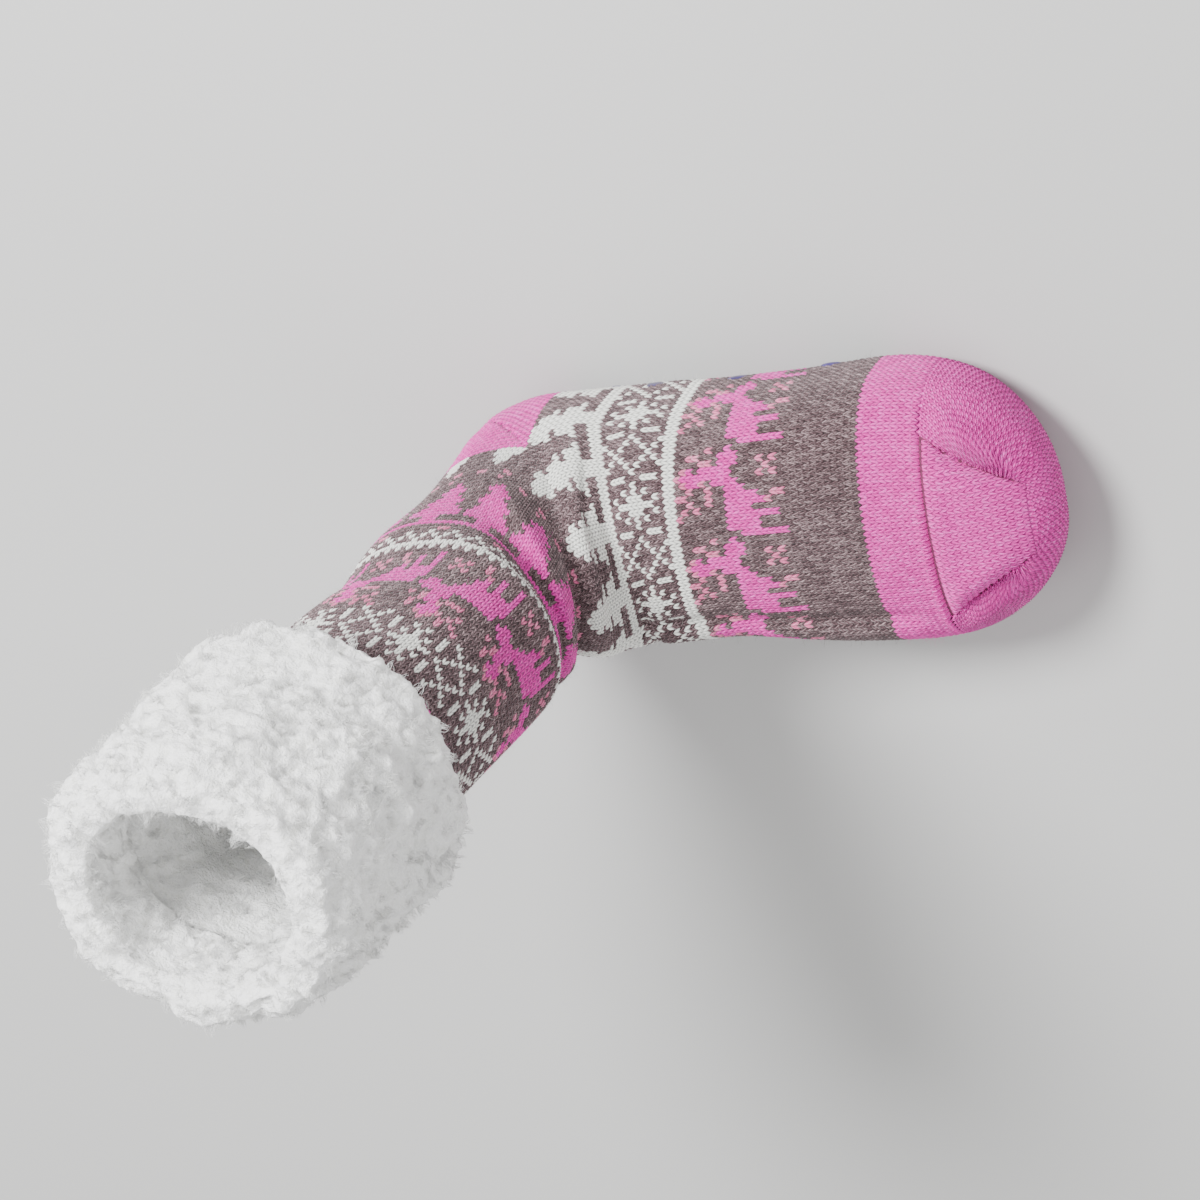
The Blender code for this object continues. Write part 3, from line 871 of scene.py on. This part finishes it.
def noise(tree, vector, scale, detail=2.0, roughness=0.5):
    made = node(tree, "ShaderNodeTexNoise")
    fill(tree, made, {"Vector": vector, "Scale": scale, "Detail": detail, "Roughness": roughness})
    return made.outputs["Fac"]


def ramp(tree, factor, stops):
    made = node(tree, "ShaderNodeValToRGB")
    elements = made.color_ramp.elements
    while len(elements) < len(stops):
        elements.new(0.5)
    for element, (place, colour) in zip(elements, stops):
        element.position = place
        element.color = (*colour, 1.0)
    return fill(tree, made, {"Fac": factor}).outputs["Color"]


# How light the heather is, and the colour there, for each yarn
YARN_TONES = {
    DARK: ((0.24, (0.030, 0.015, 0.018)), (0.46, (0.122, 0.070, 0.078)), (0.74, (0.560, 0.415, 0.430))),
    PINK: ((0.20, (0.400, 0.012, 0.185)), (0.48, (0.900, 0.040, 0.470)), (0.80, (0.980, 0.250, 0.750))),
    WHITE: ((0.15, (0.780, 0.780, 0.730)), (0.45, (0.940, 0.940, 0.890)), (0.80, (0.970, 0.970, 0.940))),
    PEACH: ((0.20, (0.440, 0.070, 0.170)), (0.50, (0.860, 0.210, 0.400)), (0.80, (0.950, 0.620, 0.720))),
}
EDGE_SHADE = 0.62
HEATHER_SHIFT = -0.095


def knit_material():
    """Heathered yarn: the yarn's number picks its colours, and each leg has two plies and fibres."""
    material, tree, shader = new_material("heathered_knit")
    place = node(tree, "ShaderNodeTexCoord").outputs["Object"]
    stitch = node(tree, "ShaderNodeUVMap", uv_map="stitch").outputs[0]
    yarn = node(tree, "ShaderNodeAttribute", attribute_name="yarn").outputs["Fac"]
    tone = node(tree, "ShaderNodeAttribute", attribute_name="tone").outputs["Fac"]
    stretch = node(tree, "ShaderNodeVectorMath", operation="MULTIPLY")
    fill(tree, stretch, {0: stitch, 1: (9.0, 3.0, 1.0)})
    fibres = noise(tree, stretch.outputs[0], 1.0, 3.0, 0.65)
    flecks = noise(tree, place, 1000.0, 2.0, 0.6)
    patches = noise(tree, place, 60.0, 2.0, 0.5)
    leg = leg_nodes(tree, stitch)
    parts = ((fibres, 0.40), (flecks, 0.45), (tone, 0.16), (patches, 0.08), (leg.ply, 0.10))
    heather = weighted_sum(tree, parts, HEATHER_SHIFT)
    colour = ramp(tree, heather, YARN_TONES[DARK])
    for number in (PINK, WHITE, PEACH):
        beyond = math_node(tree, "GREATER_THAN", yarn, number - 0.5)
        colour = mix_colour(tree, beyond, colour, ramp(tree, heather, YARN_TONES[number]))
    shade = weighted_sum(tree, ((leg.oval, EDGE_SHADE),), 1.0 - EDGE_SHADE)
    shaded = node(tree, "ShaderNodeVectorMath", operation="SCALE")
    fill(tree, shaded, {0: colour, "Scale": shade})
    fill(tree, shader, {
        "Base Color": shaded.outputs[0],
        "Roughness": 0.85,
        "Sheen Weight": 0.15,
        "Sheen Roughness": 0.45,
        "Specular IOR Level": 0.25,
    })
    height = weighted_sum(tree, ((leg.oval, 1.0), (fibres, 0.5), (leg.ply, 0.2)), 0.0)
    add_bump(tree, shader, height, 0.8, 0.0005)
    return material


def weighted_sum(tree, parts, start):
    """A number plus each socket times its weight."""
    total = start
    for socket, weight in parts:
        total = math_node(tree, "ADD", product(tree, socket, weight), total)
    return total


Leg = namedtuple("Leg", "oval ply")
LEG_LEAN = 0.30
LEG_ROUNDNESS = 2.4


def leg_nodes(tree, stitch):
    """A leg of a stitch: how far inside its slanted oval a point lies, and the stripes of its two plies."""
    parts = fill(tree, node(tree, "ShaderNodeSeparateXYZ"), {0: stitch})
    across = math_node(tree, "SUBTRACT", math_node(tree, "FRACT", parts.outputs[0]), 0.5)
    along = math_node(tree, "SUBTRACT", math_node(tree, "FRACT", parts.outputs[1]), 0.5)
    wale = math_node(tree, "FRACT", product(tree, parts.outputs[0], 0.5))
    second = math_node(tree, "GREATER_THAN", wale, 0.5)
    side = weighted_sum(tree, ((second, 2.0),), -1.0)
    leaning = math_node(tree, "ADD", across, product(tree, product(tree, along, side), LEG_LEAN))
    wide = math_node(tree, "POWER", math_node(tree, "ABSOLUTE", product(tree, leaning, 2.05)), LEG_ROUNDNESS)
    long = math_node(tree, "POWER", math_node(tree, "ABSOLUTE", product(tree, along, 1.90)), LEG_ROUNDNESS)
    inside = math_node(tree, "SUBTRACT", 1.0, math_node(tree, "ADD", wide, long))
    oval = math_node(tree, "SQRT", math_node(tree, "MAXIMUM", inside, 0.0))
    turn = math_node(tree, "ADD", product(tree, product(tree, across, side), 7.0), product(tree, along, 9.0))
    return Leg(oval, math_node(tree, "SINE", turn))


def add_clouds(tree, shader, stops, scale, detail=2.0, roughness=0.5):
    """Colour the surface by a noise, which is given back."""
    place = node(tree, "ShaderNodeTexCoord").outputs["Object"]
    clouds = noise(tree, place, scale, detail, roughness)
    fill(tree, shader, {"Base Color": ramp(tree, clouds, stops)})
    return clouds


# Dark magenta for the layer behind the stitches: painted shade in the gaps between them
BACKING_SHADE_TONES = ((0.3, (0.08, 0.015, 0.04)), (0.7, (0.18, 0.03, 0.09)))
GEL_TONES = ((0.3, (0.034, 0.022, 0.095)), (0.7, (0.085, 0.060, 0.220)))
# Fleece colour: near-white, and grey where the curls noise is low. That noise also sets the bump, so the grey
# is painted shade in the bump's hollows.
FLEECE_TONES_AND_SHADE = ((0.30, (0.80, 0.80, 0.765)), (0.46, (0.94, 0.94, 0.925)), (0.65, (0.98, 0.98, 0.97)))


def shade_backing_material():
    material, tree, shader = new_material("knit_shadow")
    # Painted shade: a dark layer that shows only through the gaps between stitches
    add_clouds(tree, shader, BACKING_SHADE_TONES, 700.0)
    shader.inputs["Roughness"].default_value = 0.95
    return material


def fleece_material():
    material, tree, shader = new_material("white_fleece")
    # One noise colours the fleece and shapes its bump: greyer in the hollows as painted shade
    curls_and_shade = add_clouds(tree, shader, FLEECE_TONES_AND_SHADE, 260.0, 5.0, 0.65)
    place = node(tree, "ShaderNodeTexCoord").outputs["Object"]
    fine = noise(tree, place, 1100.0, 3.0, 0.6)
    fill(tree, shader, {
        "Roughness": 0.9,
        "Sheen Weight": 0.4,
        "Sheen Roughness": 0.4,
        "Subsurface Weight": 0.25,
        "Subsurface Radius": (0.0020, 0.0020, 0.0019),
        "Subsurface Scale": 1.0,
        "Specular IOR Level": 0.2,
    })
    height = math_node(tree, "ADD", curls_and_shade, product(tree, fine, 0.35))
    add_bump(tree, shader, height, 0.9, 0.0028)
    return material


def grip_material():
    material, tree, shader = new_material("violet_gel")
    add_clouds(tree, shader, GEL_TONES, 300.0)
    fill(tree, shader, {
        "Roughness": 0.30,
        "Coat Weight": 0.2,
        "Coat Roughness": 0.10,
        "Subsurface Weight": 0.1,
        "Subsurface Radius": (0.0010, 0.0008, 0.0020),
    })
    return material


# The toe's pouch

TOE_TREE_LENGTH = 0.075
TOE_SLICES = 90
TOE_SHARES = 240
ROW_RAYS = 361


def toe_tree():
    """The toe's surface as a fine mesh that can be asked where a line meets it."""
    turns = np.linspace(0.0, math.pi / 2, TOE_SLICES)
    places = np.maximum(TOE_TREE_LENGTH * (1 - np.cos(turns)), 0.00002)
    shares = np.arange(TOE_SHARES) / TOE_SHARES
    points, _ = creased_grid(places, shares)
    tip = np.array([[FOOT_LENGTH - GRIP_FROM_HEEL, 0.0, TOE_TIP_HEIGHT + SOLE_LEVEL]])
    vertices = np.vstack((tip, points.reshape(-1, 3)))
    faces = []
    for j in range(TOE_SHARES):
        after = (j + 1) % TOE_SHARES
        faces.append((0, 1 + after, 1 + j))
        for i in range(TOE_SLICES - 1):
            low = 1 + i * TOE_SHARES
            high = low + TOE_SHARES
            faces.append((low + j, low + after, high + after, high + j))
    return BVHTree.FromPolygons(vertices.tolist(), faces)


def middle_line(steps=400):
    """The toe's middle line from under the seam round the tip to the gores' end on top."""
    under = [ring(place, [0.5])[0] for place in np.linspace(SEAM_FROM_TIP, 1e-5, steps)]
    over = [ring(place, [0.0])[0] for place in np.linspace(1e-5, GORE_END_PLACE, steps)]
    line = np.array(under + over)
    return line, arcs_of(line)


def sliced_row(tree, gore, middle):
    """Points of the row that runs from the left gore by the middle to the right gore, in one plane."""
    foot = Vector((gore.x, 0.0, gore.z))
    down = middle - foot
    depth = down.length
    down.normalize()
    start = foot + down * depth / 2
    reach = math.atan2(gore.y, -depth / 2)
    row = []
    for angle in np.linspace(reach, -reach, ROW_RAYS):
        met, _, _, _ = tree.ray_cast(start, down * math.cos(angle) + Vector((0.0, math.sin(angle), 0.0)))
        if met is not None:
            row.append(tuple(met))
    row[0] = tuple(gore)
    row[-1] = (gore.x, -gore.y, gore.z)
    return np.array(row)


def resampled(line, distances):
    """Points of a line at signed distances from its middle."""
    arcs = arcs_of(line)
    return along_line(line, arcs, np.clip(np.asarray(distances) + arcs[-1] / 2, 0.0, arcs[-1]))


def under_row(place):
    """The part of a ring under the seam's ends, from the left end by the sole to the right end."""
    end = gore_point(0.0)
    shares = np.linspace(0.0, 1.0, 2001)
    row = ring(place, shares)
    top = (row[:, 2] > TOE_TIP_HEIGHT + SOLE_LEVEL) & (np.abs(row[:, 1]) < end.y)
    return row[~top]


def wrapped_rows(tree):
    """The rows that wrap from the sole round the tip, each as a line of points from left to right. The first
    lies a course behind the seam's ring, so that the stitches join the foot's."""
    line, arcs = middle_line()
    count = round(arcs[-1] / COURSE)
    rows = [under_row(SEAM_FROM_TIP + COURSE), under_row(SEAM_FROM_TIP)]
    for number in range(1, count):
        share = number / count
        middle = Vector(along_line(line, arcs, [share * arcs[-1]])[0])
        rows.append(sliced_row(tree, gore_point(share), middle))
    rows.append(top_row(1.0))
    return rows


def patch_vertices(tree, rows, quarters, turn, before):
    """The toe's stitches: half rows by quarter wales from the middle. Past a gore they gather on its line.
    turn is 1 where the stitches point to the last row and -1 where they point to the first, and before is how
    many rows lie before the first that shows."""
    count = len(rows) - 1
    halves = np.array([arcs_of(row)[-1] / 2 for row in rows])
    reach = math.ceil((halves / quarters).max())
    steps = np.arange(-reach, reach + 1)
    row_of = np.arange(0, 2 * (count - before) + 1)
    lines = np.array([resampled(row, steps * quarter) for row, quarter in zip(rows, quarters)])
    index = np.zeros((len(row_of), len(steps)), dtype=int)
    points = []
    order = sorted(range(len(steps)), key=lambda k: abs(steps[k]))
    for i, half_row in enumerate(row_of):
        gathered = {}
        for k in order:
            step = steps[k]
            side = step > 0
            if side in gathered:
                index[i, k] = gathered[side]
                continue
            row = float(np.clip(half_row / 2 + before + turn * V_SHIFT[step % 4], 0.0, count))
            if half_row == 0 and not before:
                row = 0.0
            if half_row == row_of[-1]:
                row = float(count)
            low = min(int(row), count - 1)
            mix = row - low
            room = halves[low] * (1 - mix) + halves[low + 1] * mix
            outside = abs(step) * quarters[low] >= room
            between = lines[low, k] * (1 - mix) + lines[low + 1, k] * mix
            place, facing, _, _ = tree.find_nearest(Vector(between))
            height = leg_heights(np.array([half_row]), np.array([step]))[0, 0]
            if outside:
                height = -GORE_DROP
            if half_row == 0 and not before:
                height = -SEAM_DROP
            index[i, k] = len(points)
            points.append(tuple(place + facing * height))
            if outside:
                gathered[side] = index[i, k]
    return np.array(points), index, row_of


def add_toe(tube, material):
    """The toe's pouch: rows wrapped from the sole round the tip, and the patch on top between them."""
    tree = toe_tree()
    girth = arcs_of(np.vstack((tube.points[0], tube.points[0][:1])))[-1]
    random = np.random.default_rng(5)
    tones = random.random((120, 2 * WALES))
    wrapped = wrapped_rows(tree)
    behind = ring(SEAM_FROM_TIP + COURSE, np.linspace(0.0, 1.0, 2001))
    quarters = np.full(len(wrapped), girth / COLUMNS)
    quarters[0] = arcs_of(behind)[-1] / COLUMNS
    top_rows = [top_row(share) for share in np.linspace(0.0, 1.0, TOE_TOP_ROWS + 1)]
    top_quarters = np.full(len(top_rows), girth / COLUMNS)
    pieces = []
    for name, rows, widths, turn, before in (("knit_toe", wrapped, quarters, -1, 1),
                                             ("knit_toe_top", top_rows, top_quarters, 1, 0)):
        points, index, row_of = patch_vertices(tree, rows, widths, turn, before)
        pieces.append(add_knit(name, points, index, row_of, lambda course, wale: PINK, tones, material))
    return pieces


# The fleece

def cuff_profile():
    """The cuff's profile as pairs of rise and offset: up outside, over the collar and down inside."""
    inside = -KNIT_WALL - CUFF_CLEARANCE
    known = (
        (-1.00 * CUFF_HEIGHT, CUFF_CLEARANCE),
        (-1.01 * CUFF_HEIGHT, 0.45 * CUFF_PILE),
        (-0.98 * CUFF_HEIGHT, CUFF_PILE + 0.80 * CUFF_FLARE),
        (-0.88 * CUFF_HEIGHT, CUFF_PILE + 1.00 * CUFF_FLARE),
        (-0.68 * CUFF_HEIGHT, CUFF_PILE + 0.70 * CUFF_FLARE),
        (-0.48 * CUFF_HEIGHT, CUFF_PILE + 0.40 * CUFF_FLARE),
        (-0.28 * CUFF_HEIGHT, CUFF_PILE + 0.20 * CUFF_FLARE),
        (-0.06 * CUFF_HEIGHT, CUFF_PILE),
        (0.75 * CUFF_CROWN, 0.62 * CUFF_PILE),
        (1.00 * CUFF_CROWN, -0.5 * KNIT_WALL),
        (0.70 * CUFF_CROWN, inside - 0.75 * CUFF_INNER_PILE),
        (-0.30 * CUFF_INNER_LEG, inside - CUFF_INNER_PILE),
        (-0.95 * CUFF_INNER_LEG, inside - 0.80 * CUFF_INNER_PILE),
        (-1.05 * CUFF_INNER_LEG, inside),
    )
    line = np.array(known)
    arcs = arcs_of(line)
    return along_line(line, arcs, np.linspace(0.0, arcs[-1], FLEECE_ROWS))


def cuff_ring(rise, offset, shares):
    place = TUBE_LENGTH + min(rise, 0.0)
    points = ring(place, shares, offset)
    points[:, 2] += max(rise, 0.0)
    return points


def lumps(points, seed):
    """Soft uneven clumps at four sizes, about zero."""
    heights = np.zeros(len(points))
    for i, point in enumerate(points):
        place = Vector(point)
        shift = Vector((seed, 2 * seed, 3 * seed))
        for size, height in CLUMPS:
            heights[i] += height * noise_tools.noise(place / size + shift)
    return heights


def add_cuff(material):
    shares = np.arange(FLEECE_AROUND) / FLEECE_AROUND
    profile = cuff_profile()
    grid = np.array([cuff_ring(rise, offset, shares) for rise, offset in profile])
    lowness = np.clip(-profile[:, 0] / CUFF_HEIGHT, 0.0, 1.0) ** 3 * (profile[:, 1] > -KNIT_WALL)
    turn = 2 * math.pi * shares
    edge = np.sin(3 * turn + 0.6) + 0.7 * np.sin(7 * turn + 2.0) + 0.5 * np.sin(13 * turn)
    grid[:, :, 2] += CUFF_EDGE_WAVE * lowness[:, None] * edge[None, :]
    outward = outward_of(grid)
    flat = grid.reshape(-1, 3)
    weight = np.repeat(np.where(profile[:, 1] < 0, CLUMPS_INSIDE, 1.0), FLEECE_AROUND)
    moved = flat + outward.reshape(-1, 3) * (lumps(flat, 3.0) * weight)[:, None]
    piece = add_ring_grid("fleece_clumps", moved, FLEECE_ROWS, FLEECE_AROUND, material)
    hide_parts("fleece_cuff")
    return moved.reshape(FLEECE_ROWS, FLEECE_AROUND, 3), outward


def add_ring_grid(name, points, rows, around, material, inward=False):
    """A piece of closed rings of points, with its grid as its UV map. It faces out unless told otherwise."""
    faces = grid_faces(rows, around)
    corners = np.array([(j, i) for i in range(rows - 1) for j in range(around)], dtype=float)
    steps = np.array([(0, 0), (1, 0), (1, 1), (0, 1)], dtype=float)
    if inward:
        faces = [tuple(reversed(face)) for face in faces]
        steps = steps[::-1]
    uv = (corners[:, None, :] + steps[None, :, :]) / (around, rows - 1)
    piece = add_piece(name, points, faces, material)
    add_uv_map(piece, GRID_MAP, uv)
    return piece


def grid_faces(rows, around, first=0):
    """The faces between closed rings of vertices that are numbered in order from the first."""
    faces = []
    for low in range(first, first + (rows - 1) * around, around):
        high = low + around
        for j in range(around):
            after = (j + 1) % around
            faces.append((low + j, low + after, high + after, high + j))
    return faces


def add_fibre(points, faces, start, end, bow, thickness):
    """One thin three-sided fibre that bows aside on its way from start to end."""
    faces.extend(grid_faces(FIBRE_STEPS + 1, 3, len(points)))
    turns = np.linspace(0.0, 1.0, FIBRE_STEPS + 1)
    line = start + np.outer(turns, end - start) + np.outer(4 * turns * (1 - turns), bow)
    first = unit(np.cross(end - start, bow + 1e-7))
    second = unit(np.cross(end - start, first))
    for place, turn in zip(line, turns):
        thick = thickness * (1 - FIBRE_TAPER * turn)
        for corner in range(3):
            angle = 2 * math.pi * corner / 3
            points.append(place + thick * (first * math.cos(angle) + second * math.sin(angle)))


def add_locks(name, grid, outward, rows, count, seed, material):
    """Locks of fleece on some rows of a grid: fibres that rise from a patch and meet at the lock's end."""
    random = np.random.default_rng(seed)
    points, faces = [], []
    for _ in range(count):
        i = random.integers(*rows)
        j = random.integers(0, grid.shape[1])
        root, out = grid[i, j], outward[i, j]
        lean = random.normal(0.0, LOCK_LEAN, 3)
        length = random.uniform(*LOCK_LENGTHS)
        end = root + unit(out + lean) * length
        for _ in range(LOCK_FIBRES):
            spread = random.normal(0.0, LOCK_SPREAD, 3)
            start = root + spread - out * (spread @ out) - out * LOCK_SINK
            tip = end + random.normal(0.0, LOCK_TIP, 3)
            bow = random.normal(0.0, FIBRE_BOW, 3)
            add_fibre(points, faces, start, tip, bow, FIBRE_THICKNESS)
    add_piece(name, np.array(points), faces, material)


def add_lining(material):
    """The white fleece inside, from the toe to the collar."""
    shares = np.arange(LINING_AROUND) / LINING_AROUND
    foot = np.linspace(LINING_START, ANKLE_PLACE, 60)[:-1]
    shaft = np.linspace(ANKLE_PLACE, TUBE_LENGTH - LINING_BELOW_COLLAR, 110)
    places = np.concatenate((foot, shaft))
    points, outward = creased_grid(places, shares, -KNIT_WALL)
    flat = points.reshape(-1, 3)
    inward = np.maximum(LINING_LEAST, LINING_PILE + LINING_CLUMPS * lumps(flat, 5.0))
    moved = flat - outward.reshape(-1, 3) * inward[:, None]
    add_ring_grid("fleece_lining", moved, len(places), LINING_AROUND, material, inward=True)
    return moved.reshape(points.shape), -outward


# The dots under the sole

DOWN = Vector((0.0, 0.0, -1.0))


def add_dots(tree, material):
    """Domed gel dots, each where the part has its own."""
    names = sorted(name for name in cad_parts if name.startswith("grip_"))
    turns = np.linspace(0.0, math.pi / 2, DOT_RINGS + 1)
    sides = np.arange(DOT_SIDES) * 2 * math.pi / DOT_SIDES
    points, faces = [], []
    for name in names:
        low, high = (Vector(corner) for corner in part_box(name))
        middle = (low + high) / 2
        _, out, _, _ = tree.find_nearest(middle)
        if out.angle(DOWN) < FLAT_DOT_ANGLE:
            out = DOWN
        base = middle - out * GRIP_HEIGHT * 0.5
        first = out.orthogonal().normalized()
        second = out.cross(first)
        start = len(points)
        for ring_number, turn in enumerate(turns):
            reach = GRIP_DIAMETER / 2 * (math.sin(turn) ** DOT_ROUNDNESS)
            rise = GRIP_HEIGHT * math.cos(turn) if ring_number < DOT_RINGS else -GRIP_SINK
            for side in sides:
                points.append(base + out * rise + (first * math.cos(side) + second * math.sin(side)) * reach)
        for ring_number in range(DOT_RINGS):
            for k in range(DOT_SIDES):
                after = (k + 1) % DOT_SIDES
                low_row = start + ring_number * DOT_SIDES
                high_row = low_row + DOT_SIDES
                faces.append((low_row + k, high_row + k, high_row + after, low_row + after))
    piece = add_piece("gel_dots", np.array([tuple(point) for point in points]), faces, material)
    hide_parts(*names)


# Fuzz

def add_fuzz(tube, chart, material):
    """Fine hairs that stand off the knit, each in its stitch's yarn."""
    random = np.random.default_rng(13)
    points, faces, yarns = [], [], []
    rows_total = NEUTRAL_LENGTH - CUFF_HEIGHT
    for _ in range(FUZZ_HAIRS):
        column = int(random.integers(0, COLUMNS))
        extra = tube.wedges[column] / COURSE
        rows = random.uniform(0.5, rows_total / COURSE + extra)
        if rows < HEEL_COURSE:
            yarn = chart[int(rows), column // 4]
        elif rows < HEEL_COURSE + extra:
            yarn = PINK
        else:
            yarn = chart[int(rows - extra), column // 4]
        place, facing = at_arcs(tube, np.array([knitted_arcs(tube, column, rows)]), column)
        lean = random.normal(0.0, FUZZ_LEAN, 3)
        direction = unit(facing[0] + lean - facing[0] * min(0.0, lean @ facing[0]))
        length = FUZZ_LENGTH * random.uniform(0.4, 1.3)
        end = place[0] + direction * length
        end[2] = max(end[2], 0.0003)
        add_fibre(points, faces, place[0], end, random.normal(0.0, FUZZ_BOW * length, 3), FUZZ_THICKNESS)
        yarns.extend([yarn] * (3 * FIBRE_STEPS))
    points = np.array(points)
    points[:, 2] = np.maximum(points[:, 2], 0.0002)
    piece = add_piece("knit_fuzz", points, faces, material)
    count = len(faces)
    add_knit_data(piece, yarns, np.full(count, FUZZ_TONE), np.full((count * 4, 2), 0.25))


# Putting it together

add_camera()
add_stage()
for lamp in LAMPS:
    add_light(lamp)

knit = knit_material()
fleece = fleece_material()
gel = grip_material()
backing = shade_backing_material()

tube = map_tube()
chart = knitting_chart()
knit_pieces = add_tube(tube, chart, knit) + add_toe(tube, knit) + [add_back(backing)]
for piece in knit_pieces:
    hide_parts("knitted_sock")

cuff_grid, cuff_outward = add_cuff(fleece)
add_locks("fleece_locks_low", cuff_grid, cuff_outward, (1, FLEECE_ROWS // 2), LOCKS, 3, fleece)
add_locks("fleece_locks_high", cuff_grid, cuff_outward, (FLEECE_ROWS // 2, FLEECE_ROWS - 1), LOCKS, 4, fleece)
lining_grid, lining_outward = add_lining(fleece)
add_locks("fleece_locks_inside", lining_grid, lining_outward, LINING_LOCK_ROWS, LINING_LOCKS, 5, fleece)
add_fuzz(tube, chart, knit)

sole_points, _ = tube_grid(np.linspace(0.002, ANKLE_PLACE, SOLE_STEPS), np.arange(SOLE_STEPS) / SOLE_STEPS)
sole_tree = BVHTree.FromPolygons(sole_points.reshape(-1, 3).tolist(), grid_faces(SOLE_STEPS, SOLE_STEPS))
add_dots(sole_tree, gel)
